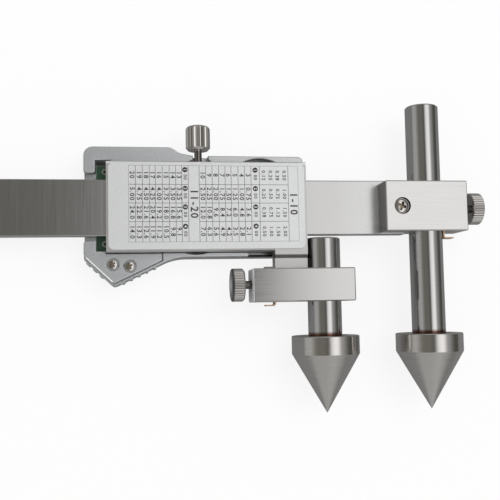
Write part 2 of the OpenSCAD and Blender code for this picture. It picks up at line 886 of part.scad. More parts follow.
// Place of the LCD's window in the front wall
module window_area(grow) {
    translate([lcd_x - window_len / 2 - grow, lcd_y - window_h / 2 - grow])
        square([window_len + 2 * grow, window_h + 2 * grow]);
}

// Outline of the front plate, which stops short of the battery cover
function face_outline(grow) =
    let (left = case_left + face_margin - grow, low = -case_bottom + face_margin - grow)
    let (right = face_right_x + grow, up = case_top - face_margin + grow)
    let (high = arm_top - face_margin + grow)
    rounded([
        [left, low, 1], [right, low, 1], [right, up - 1, 1], [arm_foot_x, up - 1, 1],
        [arm_end_x, high, 1], [left, high, 1],
    ]);

module front_housing() {
    half = frame_w / 2 + case_gap;
    cavity_left = case_left + wall_left + ledge;
    cavity_right = case_right - wall_right;
    cavity_half = frame_w / 2 - ledge_side + case_gap;
    lid_half = lid_w / 2 + lid_gap;
    tongue_half = lid_half + lid_tongue;
    set_down() on_slider() color("lightgray") difference() {
        union() {
            difference() {
                union() {
                    translate([0, 0, rest_level]) linear_extrude(rim_level - rest_level)
                        polygon(case_outline());
                    rib_row(left_ribs, left_rib_start, 180 - atan(heel_left_slope), rib_band - rib_sink);
                    rib_row(right_ribs, right_rib_start, atan(heel_right_slope), rib_band - rib_sink);
                }
                // Room for the frame, the beam and the board
                box([case_left + wall_left, -half, board_back], [overrun, half, frame_back]);
                box([case_left - overrun, -beam_way_down, board_back], [0, beam_way_up, frame_back]);
                box([case_left + wall_left, -half, board_front],
                    [case_right - wall_right / 2, half, board_back + overrun]);
                box([cavity_left, -cavity_half, floor_back],
                    [cavity_right, cavity_half, board_front + overrun]);
                // Seat and hollow of the thumb rest
                translate([0, 0, rim_level - cover_t]) linear_extrude(frame_back) cover_seat();
                translate([0, 0, floor_back]) linear_extrude(frame_back) thumb_hollow();
                // Open corner by the upper arm, and the rounded ends of the arm
                box([case_left + wall_left, 0, board_back], [frame_left + overrun, arm_hollow, frame_back]);
                translate([0, 0, board_back]) linear_extrude(frame_back - board_back) arm_corners();
                // Notch for the lock screw, lowered rim by the jaw, and the two scallops
                translate([0, 0, notch_front]) linear_extrude(frame_back) notch();
                box([rim_cut_x, -case_bottom - overrun, rim_cut_level], [overrun, 0, frame_back]);
                box([rim_cut_x, -case_bottom + rim_cut_wall, board_front], [0, -half + overrun, frame_back]);
                post(scallop_top_x, scallop_top_reach - scallop_r, board_back, frame_back,
                    2 * scallop_r);
                post(scallop_bottom_x, scallop_r - scallop_bottom_reach, board_back, frame_back,
                    2 * scallop_r);
            }
            // Bosses and the board's pegs
            for (x = case_screw_xs, side = [-1, 1])
                post(x, side * case_screw_y, floor_back - overrun / 2, board_front, case_boss_d);
            for (y = peg_ys) {
                post(peg_x, y, floor_back - overrun / 2, board_front, peg_boss_d);
                post(peg_x, y, board_front - overrun, board_back, peg_d);
            }
            intersection() {
                union() for (p = cover_screw_places)
                    post(p.x, p.y, floor_back - overrun / 2, rim_level - cover_t, thumb_boss_d);
                translate([0, 0, rest_level]) linear_extrude(rim_level - rest_level)
                    polygon(case_outline());
            }
        }
        // Screw holes
        for (x = case_screw_xs, side = [-1, 1])
            post(x, side * case_screw_y, board_front - case_screw_bite, board_back, case_screw_d);
        for (p = cover_screw_places)
            post(p.x, p.y, rim_level - cover_t - cover_screw_bite, frame_back, cover_screw_d);
        // Front plate, window and buttons
        translate([0, 0, rest_level - overrun]) linear_extrude(front_rim + overrun)
            polygon(face_outline(face_gap));
        translate([0, 0, rest_level]) linear_extrude(floor_back - rest_level + overrun / 2)
            window_area(face_gap);
        for (x = button_xs)
            post(x, button_y, rest_level, floor_back + overrun / 2, button_d + 2 * moving_gap);
        // Battery's hole and the track of its cover
        post(cell_x, cell_y, rest_level, floor_back + overrun / 2, cell_d + 2 * cell_hole_gap);
        box([case_right - lid_len - lid_gap, cell_y - lid_half, rest_level - overrun],
            [overrun, cell_y + lid_half, lid_back + lid_gap]);
        box([case_right - lid_len - lid_gap, cell_y - tongue_half, lid_back - lid_tongue_t - lid_gap],
            [overrun, cell_y + tongue_half, lid_back + lid_gap]);
    }
}

module thumb_rest_cover() {
    set_down() on_slider() color("lightgray") difference() {
        translate([0, 0, rim_level - cover_t]) linear_extrude(cover_t) polygon(cover_outline());
        for (p = cover_screw_places) {
            post(p.x, p.y, rim_level - cover_t - overrun, rim_level + overrun,
                cover_screw_d + 2 * screw_gap);
            post(p.x, p.y, rim_level - cover_recess, rim_level + overrun, cover_recess_d);
        }
    }
}

module thumb_rest_screws() {
    set_down() on_slider() color("gainsboro") for (p = cover_screw_places)
        translate([p.x, p.y, rim_level - cover_recess])
            pan_screw(cover_screw_head_d, cover_screw_head_h, cover_screw_d,
                cover_t - cover_recess + cover_screw_bite - screw_gap);
}

module housing_screws() {
    seat = frame_back - case_screw_head_h;
    set_down() on_slider() color("gray") for (x = case_screw_xs, side = [-1, 1])
        translate([x, side * case_screw_y, seat])
            pan_screw(case_screw_head_d, case_screw_head_h - screw_gap, case_screw_d,
                seat - board_front + case_screw_bite - screw_gap);
}

module circuit_board() {
    left = case_left + wall_left + board_inset;
    right = case_right - wall_right / 2 - board_inset;
    half = frame_w / 2 - board_edge;
    set_down() on_slider() color("seagreen") {
        difference() {
            box([left, -half, board_front], [right, half, board_back]);
            for (x = case_screw_xs, side = [-1, 1])
                post(x, side * case_screw_y, board_front - overrun, board_back + overrun,
                    case_screw_d + 2 * screw_gap);
            for (y = peg_ys)
                post(peg_x, y, board_front - overrun, board_back + overrun, peg_d + 2 * peg_hole_gap);
        }
        post(chip_x, chip_y, board_front - chip_h, board_front, chip_d);
    }
}

module button_switches() {
    set_down() on_slider() color("black") for (x = button_xs) {
        box([x - switch_w / 2, button_y - switch_w / 2, board_front - switch_h],
            [x + switch_w / 2, button_y + switch_w / 2, board_front]);
        post(x, button_y, board_front - switch_h - plunger_h, board_front - switch_h, plunger_d);
    }
}

module lcd_panel() {
    set_down() on_slider() color("darkseagreen")
        box([lcd_x - lcd_len / 2, lcd_y - lcd_h / 2, floor_back],
            [lcd_x + lcd_len / 2, lcd_y + lcd_h / 2, floor_back + lcd_t]);
}

module lcd_window() {
    set_down() on_slider() color("lightcyan")
        translate([0, 0, floor_front - face_t - window_proud])
        linear_extrude(floor_t + face_t + window_proud) window_area(0);
}

module lcd_connectors() {
    set_down() on_slider() color("hotpink") for (side = [-1, 1])
        translate([lcd_x, lcd_y + side * (lcd_h / 2 - connector_inset), 0])
            box([-connector_len / 2, -connector_w / 2, floor_back + lcd_t],
                [connector_len / 2, connector_w / 2, board_front]);
}

module face_plate() {
    set_down() on_slider() color("dimgray") difference() {
        translate([0, 0, floor_front - face_t]) linear_extrude(face_t) polygon(face_outline(0));
        translate([0, 0, floor_front - face_t - overrun]) linear_extrude(face_t + 2 * overrun)
            window_area(face_gap);
        for (x = button_xs)
            post(x, button_y, floor_front - face_t - overrun, floor_front + overrun,
                button_d + 2 * moving_gap);
    }
}

// Button cap with its flange behind the front wall
module button(x) {
    front = rest_level + button_sunk;
    flange = floor_back + moving_gap;
    flange_back = flange + button_flange_t;
    set_down() on_slider() color("orange") translate([x, button_y, 0]) {
        post(0, 0, front, flange, button_d);
        post(0, 0, flange, flange_back, button_d + 2 * button_flange);
        post(0, 0, flange_back, button_stem_end, button_stem_d);
    }
}

module power_button() {
    button(button_xs[0]);
}

module zero_button() {
    button(button_xs[1]);
}

module unit_button() {
    button(button_xs[2]);
}

module battery() {
    set_down() on_slider() color("silver") {
        post(cell_x, cell_y, cell_front, cell_front + cell_t - cell_rim_t, cell_d);
        post(cell_x, cell_y, cell_front + cell_t - cell_rim_t, cell_front + cell_t,
            cell_d * cell_cap_share);
    }
}

module battery_contact_positive() {
    x = cell_x - cell_d / 2 - turn_gap;
    set_down() on_slider() color("gold") {
        box([x - contact_t, cell_y - contact_w / 2, floor_back + seat_gap],
            [x, cell_y + contact_w / 2, board_front]);
        box([x - contact_foot, cell_y - contact_w / 2, board_front - contact_t],
            [x - contact_t, cell_y + contact_w / 2, board_front]);
    }
}

module battery_contact_negative() {
    pad = cell_front + cell_t;
    set_down() on_slider() color("gold") translate([cell_x, cell_y, 0]) {
        box([-contact_w / 2, -contact_w / 2, pad], [contact_w / 2, contact_w / 2, pad + contact_t]);
        box([contact_w / 2 - contact_t, -contact_w / 2, pad],
            [contact_w / 2, contact_w / 2, board_front]);
        box([contact_w / 2, -contact_w / 2, board_front - contact_t],
            [contact_w / 2 + contact_foot, contact_w / 2, board_front]);
    }
}

module battery_cover() {
    left = case_right - lid_len;
    half = lid_w / 2;
    set_down() on_slider() color("dimgray") difference() {
        union() {
            box([left, cell_y - half, lid_front], [case_right, cell_y + half, lid_back]);
            box([left, cell_y - half - lid_tongue, lid_back - lid_tongue_t],
                [case_right, cell_y + half + lid_tongue, lid_back]);
        }
        for (i = [0:lid_ridges - 1])
            translate([case_right - lid_ridge_pitch * (i + 1.5), cell_y, lid_front])
                box([-lid_ridge_w / 2, -lid_ridge_len / 2, -overrun],
                    [lid_ridge_w / 2, lid_ridge_len / 2, lid_ridge_depth]);
    }
}

// Slider block group

module slider_block() {
    top = -slider_block_drop;
    bottom = top - slider_block_h;
    leaf_face = frame_right - stub_w - turn_gap;
    set_down() on_slider() color("silver") difference() {
        chamfered_box([-slider_block_left, bottom, beam_front],
            [slider_block_right, top, block_back], block_chamfer);
        rod_bore(0, bottom, top);
        box([leaf_face, bottom - overrun, stub_front - stub_gap],
            [frame_right + stub_gap, top + overrun, stub_back + stub_gap]);
        leaf_slot(leaf_face, -1, bottom, top);
        clamp_hole(-slider_block_left, slider_clamp_y, 1, slider_block_left + leaf_face);
    }
}

module slider_clamp_leaf() {
    bottom = -slider_block_drop - slider_block_h;
    set_down() on_slider() color("sienna")
        translate([frame_right - stub_w - turn_gap, 0, rod_z]) mirror([1, 0, 0])
        leaf(bottom - slider_leaf_hang - leaf_t, -slider_block_drop + leaf_lift + leaf_t,
            leaf_foot);
}

module slider_clamp_screw() {
    tip = frame_right - stub_w - leaf_t - 2 * turn_gap;
    clamp_screw(slider_x - slider_block_left, slider_clamp_y, -1, slider_block_left + tip);
}

module slider_rod() {
    ground_rod(slider_x, -cone_drop - rod_seat, slider_rod_top);
}

module slider_cone() {
    measuring_cone(slider_x);
}

beam();
capacitive_scale();
scale_film();
end_stop();
end_stop_screws();
fixed_block();
fixed_block_screw();
fixed_clamp_leaf();
fixed_rod();
fixed_cone();
fixed_clamp_screw();
slider_frame();
back_plate();
gib_strip();
gib_screws();
lock_screw();
front_housing();
thumb_rest_cover();
thumb_rest_screws();
housing_screws();
circuit_board();
button_switches();
lcd_panel();
lcd_window();
lcd_connectors();
face_plate();
power_button();
zero_button();
unit_button();
battery();
battery_contact_positive();
battery_contact_negative();
battery_cover();
slider_block();
slider_clamp_leaf();
slider_clamp_screw();
slider_rod();
slider_cone();
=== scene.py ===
# %% [markdown]
# # A centre-distance caliper, seen from its plain back
#
# The caliper is a digital slider on a flat steel beam. Two cones on ground rods hang from clamp
# blocks, so that the display reads the distance between the centres of two holes. The solids come
# from the CAD model, to the hundredth of a millimetre. Here they get their surfaces: brushed and
# polished steel, satin housing metal, a printed table and a display side.

# %% The frame: solids and bodies
import json
import math

import bmesh
import bpy
from mathutils import Matrix, Vector


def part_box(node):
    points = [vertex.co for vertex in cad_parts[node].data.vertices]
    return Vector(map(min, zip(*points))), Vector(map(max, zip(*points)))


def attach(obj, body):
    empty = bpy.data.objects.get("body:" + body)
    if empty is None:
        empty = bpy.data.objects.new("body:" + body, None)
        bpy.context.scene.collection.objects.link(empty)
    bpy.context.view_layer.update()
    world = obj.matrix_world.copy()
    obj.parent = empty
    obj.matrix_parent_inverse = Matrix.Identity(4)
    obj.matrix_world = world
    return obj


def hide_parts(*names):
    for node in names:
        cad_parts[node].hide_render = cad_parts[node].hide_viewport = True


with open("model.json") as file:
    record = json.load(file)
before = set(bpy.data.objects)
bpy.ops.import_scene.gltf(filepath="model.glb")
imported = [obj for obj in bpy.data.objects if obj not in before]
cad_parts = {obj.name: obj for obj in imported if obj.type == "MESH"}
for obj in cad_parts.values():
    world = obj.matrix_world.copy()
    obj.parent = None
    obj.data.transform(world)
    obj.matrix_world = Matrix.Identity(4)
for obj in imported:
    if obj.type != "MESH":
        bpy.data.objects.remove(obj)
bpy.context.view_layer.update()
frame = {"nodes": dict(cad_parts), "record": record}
solids = frame["nodes"]

# %% [markdown]
# The sizes in the CAD model are counted from the fixed rod's axis, where it crosses the middle of
# the beam. The scene counts from the middle of the caliper's footprint, in metres. One helper
# turns the first into the second, so that every place below can be read off the real tool.

# %% Places in millimetres from the fixed rod's axis
MM = 0.001
DATUM = Vector((100.6, 14.5756, 10.6))
SLIDER_X = -31.15  # the slider rod's axis


def place(x, y, z):
    """The scene's point for a place in millimetres from the fixed rod's axis."""
    return (Vector((x, y, z)) + DATUM) * MM


print("slider rod's axis:", place(SLIDER_X, 0, 0))

# %% [markdown]
# Shader nodes are easier to read when each is one line. This helper adds a node, sets its options,
# and either sets or links its inputs, whichever it is given.

# %% Helpers for shader nodes


def add_node(tree, kind, inputs=None, **options):
    """A new shader node: options are its settings, inputs its values or links by name."""
    made = tree.nodes.new("ShaderNode" + kind)
    for name, value in options.items():
        setattr(made, name, value)
    for name, value in (inputs or {}).items():
        if isinstance(value, bpy.types.NodeSocket):
            tree.links.new(value, made.inputs[name])
        else:
            made.inputs[name].default_value = value
    return made


def mix_colour(tree, mask, dark, light):
    """Colour between two colours or links, by a mask from 0 to 1."""
    mixed = add_node(tree, "Mix", {0: mask, 6: dark, 7: light}, data_type="RGBA")
    return mixed.outputs[2]


def remap(tree, value, low, high, start=0.0, end=1.0):
    """Value between start and end, stretched to run from low to high."""
    made = add_node(tree, "MapRange", {"Value": value, "From Min": start, "From Max": end,
                                       "To Min": low, "To Max": high})
    return made.outputs["Result"]


def grey(level, warmth=0.0):
    """A grey that is a little red when warmth is above 0, and a little blue below."""
    return (level * (1 + warmth), level, level * (1 - warmth), 1.0)


print("shader helpers:", [each.__name__ for each in (add_node, mix_colour, remap, grey)])

# %% [markdown]
# Brushed, ground and turned steel differ only in which way their fine scratches run. One group
# makes them all: noise that is squeezed across the scratches and drawn out along them. Its second
# output is a slow cloudiness, such as handling leaves on bare metal. The noise rarely leaves the
# middle of its range, so that span is stretched to run from 0 to 1.

# %% The scratches that every surface here shares
NOISE_SPAN = (0.3, 0.7)
scratches = bpy.data.node_groups.new("scratches", "ShaderNodeTree")
for name, kind, way in (("Vector", "NodeSocketVector", "INPUT"),
                        ("Stretch", "NodeSocketVector", "INPUT"),
                        ("Clouding", "NodeSocketFloat", "INPUT"),
                        ("Scratch", "NodeSocketFloat", "OUTPUT"),
                        ("Cloud", "NodeSocketFloat", "OUTPUT")):
    scratches.interface.new_socket(name, in_out=way, socket_type=kind)
given = scratches.nodes.new("NodeGroupInput")
result = scratches.nodes.new("NodeGroupOutput")
drawn = add_node(scratches, "VectorMath", {0: given.outputs["Vector"], 1: given.outputs["Stretch"]},
                 operation="MULTIPLY")
lines = add_node(scratches, "TexNoise", {"Vector": drawn.outputs[0], "Scale": 1.0, "Detail": 3.0,
                                         "Roughness": 0.65})
cloud = add_node(scratches, "TexNoise", {"Vector": given.outputs["Vector"],
                                         "Scale": given.outputs["Clouding"], "Detail": 2.0})
for noise, name in ((lines, "Scratch"), (cloud, "Cloud")):
    scratches.links.new(remap(scratches, noise.outputs["Fac"], 0.0, 1.0, *NOISE_SPAN),
                        result.inputs[name])
print("group:", scratches.name)

# %% [markdown]
# Every finish starts in the same way: a colour that the scratches lighten and darken by a hair, a
# roughness, and a bump a few thousandths of a millimetre high.

# %% What all finishes have in common


def grained(name, colour, stretch, clouds, tint):
    """A new material, its grain, and its colour as the grain mottles it by tint."""
    material = bpy.data.materials.new(name)
    material.use_nodes = True
    tree = material.node_tree
    grain = add_node(tree, "Group", {"Vector": add_node(tree, "TexCoord").outputs["Object"],
                                     "Stretch": stretch, "Clouding": clouds},
                     node_tree=scratches)
    dark = [c * (1 - tint) for c in colour[:3]] + [1.0]
    light = [min(1.0, c * (1 + tint)) for c in colour[:3]] + [1.0]
    return material, grain, mix_colour(tree, grain.outputs["Scratch"], dark, light)


def dress(material, grain, colour, roughness, bump, depth):
    """Links colour, roughness and the grain's bump to the shader, and returns both nodes."""
    tree = material.node_tree
    shader = tree.nodes["Principled BSDF"]
    height = add_node(tree, "Bump", {"Strength": bump, "Distance": depth,
                                     "Height": grain.outputs["Scratch"]})
    for name, link in (("Base Color", colour), ("Roughness", roughness),
                       ("Normal", height.outputs["Normal"])):
        tree.links.new(link, shader.inputs[name])
    return shader, height


print("finish helpers:", [each.__name__ for each in (grained, dress)])

# %% [markdown]
# A metal is then one call. Its scratches also change how sharply it reflects, and its clouds dull
# it a little towards brown. A face that was ground by hand is never quite flat, so its normals may
# lean away from a middle, which turns one even reflection into a slow gradient.

# %% A metal with scratches that run one way
METAL_CLOUDS = 60.0
METAL_DEPTH = 0.00002
HANDLED = grey(0.12, 0.08)


def crowned(tree, middle, tilt):
    """Normals that lean away from a middle along X, as on a face that was ground by hand."""
    geometry = add_node(tree, "NewGeometry")
    spot = add_node(tree, "SeparateXYZ", {0: add_node(tree, "TexCoord").outputs["Object"]})
    away = add_node(tree, "Math", {0: spot.outputs["X"], 1: place(middle, 0, 0).x},
                    operation="SUBTRACT")
    lean = add_node(tree, "Math", {0: away.outputs[0], 1: tilt}, operation="MULTIPLY")
    shift = add_node(tree, "CombineXYZ", {"X": lean.outputs[0]})
    leaned = add_node(tree, "VectorMath", {0: geometry.outputs["Normal"], 1: shift.outputs[0]})
    return add_node(tree, "VectorMath", {0: leaned.outputs[0]}, operation="NORMALIZE").outputs[0]


def metal(name, colour, rough, stretch, tint=0.05, rough_swing=0.06, bump=0.05, cloud_tint=0.04,
          metallic=1.0, crown=None):
    """Bare metal whose scratches are drawn out by stretch, in scratches per metre."""
    material, grain, lined = grained(name, colour, stretch, METAL_CLOUDS, tint)
    tree = material.node_tree
    handled = mix_colour(tree, remap(tree, grain.outputs["Cloud"], cloud_tint, 0.0), lined,
                         HANDLED)
    swing = remap(tree, grain.outputs["Scratch"], rough - rough_swing, rough + rough_swing)
    shader, height = dress(material, grain, handled, swing, bump, METAL_DEPTH)
    if crown:
        tree.links.new(crowned(tree, *crown), height.inputs["Normal"])
    shader.inputs["Metallic"].default_value = metallic
    return material


print("metal helpers:", [each.__name__ for each in (crowned, metal)])

# %% [markdown]
# The beam, the blocks and the frame are ground on a flat stone, so their scratches run one way.
# The rods and cones are turned, so theirs run round. Knobs and screws are plated, the housing is
# cast and blasted, and the back plate is anodised: their grain has no direction.

# %% The metals
GROUND_FINE, GROUND_LONG = 5200.0, 60.0
TURNED_FINE, TURNED_LONG = 9000.0, 90.0
ALONG_X = (GROUND_LONG, GROUND_FINE, GROUND_FINE)
ALONG_Y = (GROUND_FINE, GROUND_LONG, GROUND_FINE)
AROUND_Y = (TURNED_LONG, TURNED_FINE, TURNED_LONG)
EVERY_WAY = (4200.0,) * 3
SHADE_BROWN = (0.46, 0.40, 0.30, 1.0)
COPPER = (0.55, 0.38, 0.27, 1.0)
BRONZE = (0.62, 0.45, 0.22, 1.0)
GOLD = (0.80, 0.58, 0.24, 1.0)
TIN = (0.42, 0.47, 0.40, 1.0)
beam_steel = metal("beam_steel", grey(0.60, 0.01), 0.21, ALONG_Y, tint=0.025, rough_swing=0.03,
                   bump=0.04)
block_steel = metal("block_steel", grey(0.70, 0.02), 0.26, ALONG_X, tint=0.04, bump=0.2)
arm_steel = metal("arm_steel", grey(0.60, 0.02), 0.22, ALONG_X, tint=0.04, bump=0.2,
                  crown=(SLIDER_X, 4.0))
frame_steel = metal("frame_steel", grey(0.72, 0.01), 0.42, ALONG_X, bump=0.2)
rod_steel = metal("rod_steel", grey(0.62, 0.01), 0.10, AROUND_Y, tint=0.03, rough_swing=0.03,
                  bump=0.03)
cone_steel = metal("cone_steel", grey(0.66, 0.035), 0.28, AROUND_Y, tint=0.08, bump=0.25)
knob_nickel = metal("knob_nickel", grey(0.70, 0.04), 0.14, EVERY_WAY, tint=0.06)
knob_steel = metal("knob_steel", grey(0.45, 0.04), 0.08, EVERY_WAY, tint=0.06)
screw_steel = metal("screw_steel", grey(0.66, 0.04), 0.18, EVERY_WAY)
# painted shade: the dark brown inside the screws' crosses
recess_painted_shade = metal("recess_painted_shade", SHADE_BROWN, 0.4, EVERY_WAY, tint=0.1)
dark_screw = metal("dark_screw", grey(0.16), 0.35, EVERY_WAY, tint=0.1)
leaf_copper = metal("leaf_copper", COPPER, 0.3, ALONG_Y, tint=0.12, bump=0.1)
gib_bronze = metal("gib_bronze", BRONZE, 0.32, ALONG_X, tint=0.08)
contact_gold = metal("contact_gold", GOLD, 0.2, EVERY_WAY)
cell_steel = metal("cell_steel", grey(0.70), 0.2, EVERY_WAY, tint=0.03)
pad_tin = metal("pad_tin", TIN, 0.4, EVERY_WAY, tint=0.15)
housing_alloy = metal("housing_alloy", grey(0.64, -0.02), 0.32, EVERY_WAY, bump=0.12,
                      cloud_tint=0.02, metallic=0.75)
plate_aluminium = metal("plate_aluminium", grey(0.77, -0.006), 0.42, EVERY_WAY, tint=0.09,
                        bump=0.35, cloud_tint=0.01, metallic=0.45)
print("metals:", len(bpy.data.materials))

# %% [markdown]
# One solid can have more than one finish: a polished rim, or painted light and shade, such as a
# painted highlight on an edge or painted shade in a hole. A second material would need a cut in the
# CAD model's mesh, which is left alone. Instead a soft-edged box
# in the solid's own coordinates mixes another colour or setting into the finish, so it moves with
# the solid.

# %% A zone with a finish of its own


def tone(material, low, high, colour=None, edge=0.1, turn=0.0, **finish):
    """Recolours or refinishes a metal in a box between two places in millimetres.

    The box has a soft border of the width edge, and is turned about its middle by turn degrees.
    """
    tree = material.node_tree
    centred = add_node(tree, "Mapping", {"Vector": add_node(tree, "TexCoord").outputs["Object"],
                                         "Location": (place(*low) + place(*high)) / 2,
                                         "Rotation": (0, 0, math.radians(turn))},
                       vector_type="TEXTURE")
    spot = add_node(tree, "SeparateXYZ", {0: centred.outputs[0]})
    mask = 1.0
    for axis, side in zip("XYZ", Vector(high) - Vector(low)):
        away = add_node(tree, "Math", {0: spot.outputs[axis]}, operation="ABSOLUTE")
        inside = remap(tree, away.outputs[0], 1.0, 0.0, (side - edge) / 2 * MM,
                       (side + edge) / 2 * MM)
        mask = add_node(tree, "Math", {0: inside, 1: mask}, operation="MULTIPLY").outputs[0]
    shader = tree.nodes["Principled BSDF"]
    if colour:
        base = shader.inputs["Base Color"]
        tree.links.new(mix_colour(tree, mask, base.links[0].from_socket, colour), base)
    for name, value in finish.items():
        base = shader.inputs[name]
        before = base.links[0].from_socket if base.links else base.default_value
        mixed = add_node(tree, "Mix", {0: mask, 2: before, 3: value})
        tree.links.new(mixed.outputs[0], base)


print("zone helper:", tone.__name__)

# %% [markdown]
# Each zone is one that the photograph shows. Most are painted light and shade: rings of painted
# shade where the rods enter the cones, painted shade on the clamp screws' shanks, in hollows and on
# a shaded side, a painted dark reflection on the slider rod, and painted light and highlights on
# the edges and faces that catch or lose the light. The cones' polished rims only change roughness.
# A later zone on the same finish lies over the earlier ones.

# %% The zones
# a dark brown ring of painted shade where each rod enters its cone
JUNCTION_SHADE = (0.16, 0.08, 0.06, 1.0)
# painted shade for the clamp screws' shanks between knob and block
SHANK_SHADE = grey(0.12, 0.06)
CONE_TOP_Y, RIM_END_Y = -37.15, -42.25
ZONES = {
    # matt by the block, and painted lighter where the block's dark reflection and shade would fall
    "beam, matt and painted lighter by the block":
        (beam_steel, (-22, -9, 3), (-8, 9, 8),
         {"colour": grey(0.74), "edge": 9, "Metallic": 0.1, "Roughness": 0.3}),
    # painted light: white and matt where the block's shade falls on the beam
    "beam, painted light at the block's foot":
        (beam_steel, (-15.8, -9, 3), (-12, 9, 8),
         {"colour": grey(1.0), "edge": 1.4, "Metallic": 0.0}),
    # painted shade on the block's side that faces the slider
    "fixed block, painted shade on the side towards the slider":
        (block_steel, (-13.8, -8, -3), (-13.4, 7.3, 8.9), {"colour": grey(0.34)}),
    # painted shade in the recess around the block's screw
    "fixed block, painted shade in the screw's recess":
        (block_steel, (-11.3, -2.95, 0), (-6.1, 2.25, 9.05),
         {"colour": grey(0.05, 0.1), "edge": 0.02}),
    # painted light where the knob shades the slider block's end
    "slider block, painted light on the end behind the knob":
        (arm_steel, (-53, -30, -5), (-52.2, -15, 8.9), {"colour": grey(1.0), "Metallic": 0.0}),
    # painted shade in the groove above the jaw stub
    "frame, painted shade in the groove above the jaw stub":
        (frame_steel, (-47, -14.9, 2), (-36, -13.9, 6), {"colour": grey(0.26, 0.05), "edge": 0.3}),
    "frame, upper band":
        (frame_steel, (-94, 12.1, 5.1), (-35, 13, 6), {"colour": grey(0.9), "Metallic": 0.4}),
    # painted shade ring at the rod's junction with the cone
    "rods, painted shade ring at the cones":
        (rod_steel, (-40, -38, -4), (6, CONE_TOP_Y + 0.9, 9), {"colour": JUNCTION_SHADE, "edge": 0.8}),
    # a painted dark reflection on the slider rod's edge beside the frame
    "slider rod, painted dark reflection on the edge towards the frame":
        (rod_steel, (SLIDER_X - 5.5, -20, -4), (SLIDER_X - 3.8, -8, 12),
         {"colour": grey(0.05, 0.1), "edge": 0.5}),
    "cones, polished rims":
        (cone_steel, (-45, RIM_END_Y, -10), (15, CONE_TOP_Y - 0.15, 20), {"Roughness": 0.13}),
    "lock screw, shank":
        (knob_nickel, (-70, 8, -2), (-60, 16.4, 5), {"colour": grey(0.22, 0.06), "edge": 0.3}),
    # painted shade on the fixed clamp screw's shank
    "fixed clamp screw, painted shade on the shank":
        (knob_steel, (2, -5, -5), (13.1, 5, 12), {"colour": SHANK_SHADE, "edge": 0.2}),
    # painted shade on the slider clamp screw's shank
    "slider clamp screw, painted shade on the shank":
        (knob_steel, (-54.4, -30, -5), (-40, -15, 12), {"colour": SHANK_SHADE, "edge": 0.2}),
    # painted shade on the bevel of the slider clamp screw's knob
    "slider clamp screw, painted shade on the bevel of the knob":
        (knob_steel, (-58.2, -30, -5), (-57.55, -15, 12), {"colour": grey(0.12), "edge": 0.04}),
    # a painted reflection of white on the face of the knob
    "slider clamp screw, painted reflection on the face of the knob":
        (knob_steel, (-59, -30, -5), (-58.2, -15, 12),
         {"colour": grey(0.9), "edge": 0.04, "Metallic": 0.3}),
    "slider's leaf, upper foot":
        (leaf_copper, (-49, -17.9, 1), (-45, -17, 6), {"colour": grey(0.2, 0.05)}),
    # painted shade in the gap between the housing and the jaw stub
    "housing, painted shade in the gap beside the jaw stub":
        (housing_alloy, (-53, -15, -2), (-36, -12, -1), {"colour": grey(0.015), "edge": 0.3}),
    # a painted highlight along the thumb rest's edge
    "thumb rest, painted highlight on the edge":
        (housing_alloy, (-100.0, -17.61, 1.0), (-89.9, -17.25, 2.0),
         {"colour": grey(1.0), "edge": 0.08, "turn": -43.5, "Metallic": 0.0}),
}
for finish, low, high, settings in ZONES.values():
    tone(finish, low, high, **settings)
print("zones:", len(ZONES))

# %% [markdown]
# Moulded plastic, film, board and glass are not metal. They take their colour from below a clear
# surface, so the same grain only mottles them and roughens their sheen.

# %% Plastics, board, film and glass
PLASTIC_CLOUDS = 90.0
PLASTIC_DEPTH = 0.00003


def plastic(name, colour, rough, grain_size=3000.0, tint=0.1, bump=0.15):
    """Moulded or printed plastic with a fine even texture."""
    material, grain, mottled = grained(name, colour, (grain_size,) * 3, PLASTIC_CLOUDS, tint)
    sheen = remap(material.node_tree, grain.outputs["Cloud"], rough - 0.05, rough + 0.05)
    dress(material, grain, mottled, sheen, bump, PLASTIC_DEPTH)
    return material


board_green = plastic("board_green", (0.03, 0.105, 0.052, 1.0), 0.35, 1500.0, tint=0.25)
scale_laminate = plastic("scale_laminate", (0.05, 0.13, 0.07, 1.0), 0.4, 2500.0)
scale_film = plastic("scale_film", grey(0.52), 0.45, 3500.0, tint=0.05)
switch_black = plastic("switch_black", grey(0.02), 0.5)
connector_rubber = plastic("connector_rubber", (0.55, 0.25, 0.27, 1.0), 0.7)
face_grey = plastic("face_grey", grey(0.055, -0.05), 0.45, 2600.0, tint=0.2, bump=0.3)
button_grey = plastic("button_grey", grey(0.20, -0.02), 0.5, 3200.0)
cover_black = plastic("cover_black", grey(0.03), 0.5, 2600.0, tint=0.2, bump=0.4)
display_glass = plastic("display_glass", (0.34, 0.38, 0.31, 1.0), 0.18, 900.0, tint=0.03, bump=0.0)
lcd_film = plastic("lcd_film", (0.42, 0.46, 0.37, 1.0), 0.4, 900.0, tint=0.04, bump=0.0)
lcd_shade = plastic("lcd_shade", (0.37, 0.405, 0.325, 1.0), 0.4, 900.0, tint=0.04, bump=0.0)
label_white = plastic("label_white", grey(0.62), 0.5, 4000.0, tint=0.05, bump=0.0)
printing_ink = plastic("printing_ink", grey(0.03), 0.55, 4000.0, tint=0.2, bump=0.0)
window_clear = plastic("window_clear", grey(0.95), 0.08, 800.0, tint=0.01, bump=0.0)
for finish, settings in ((board_green, {"Coat Weight": 0.4}),
                         (window_clear, {"Transmission Weight": 1.0, "IOR": 1.49})):
    for name, value in settings.items():
        finish.node_tree.nodes["Principled BSDF"].inputs[name].default_value = value
print("materials:", len(bpy.data.materials))

# %% [markdown]
# A CAD solid is never moved or remeshed here, but its material slots are free. One table says
# which finish each solid gets, so that none is forgotten: a solid that is missing would be printed.

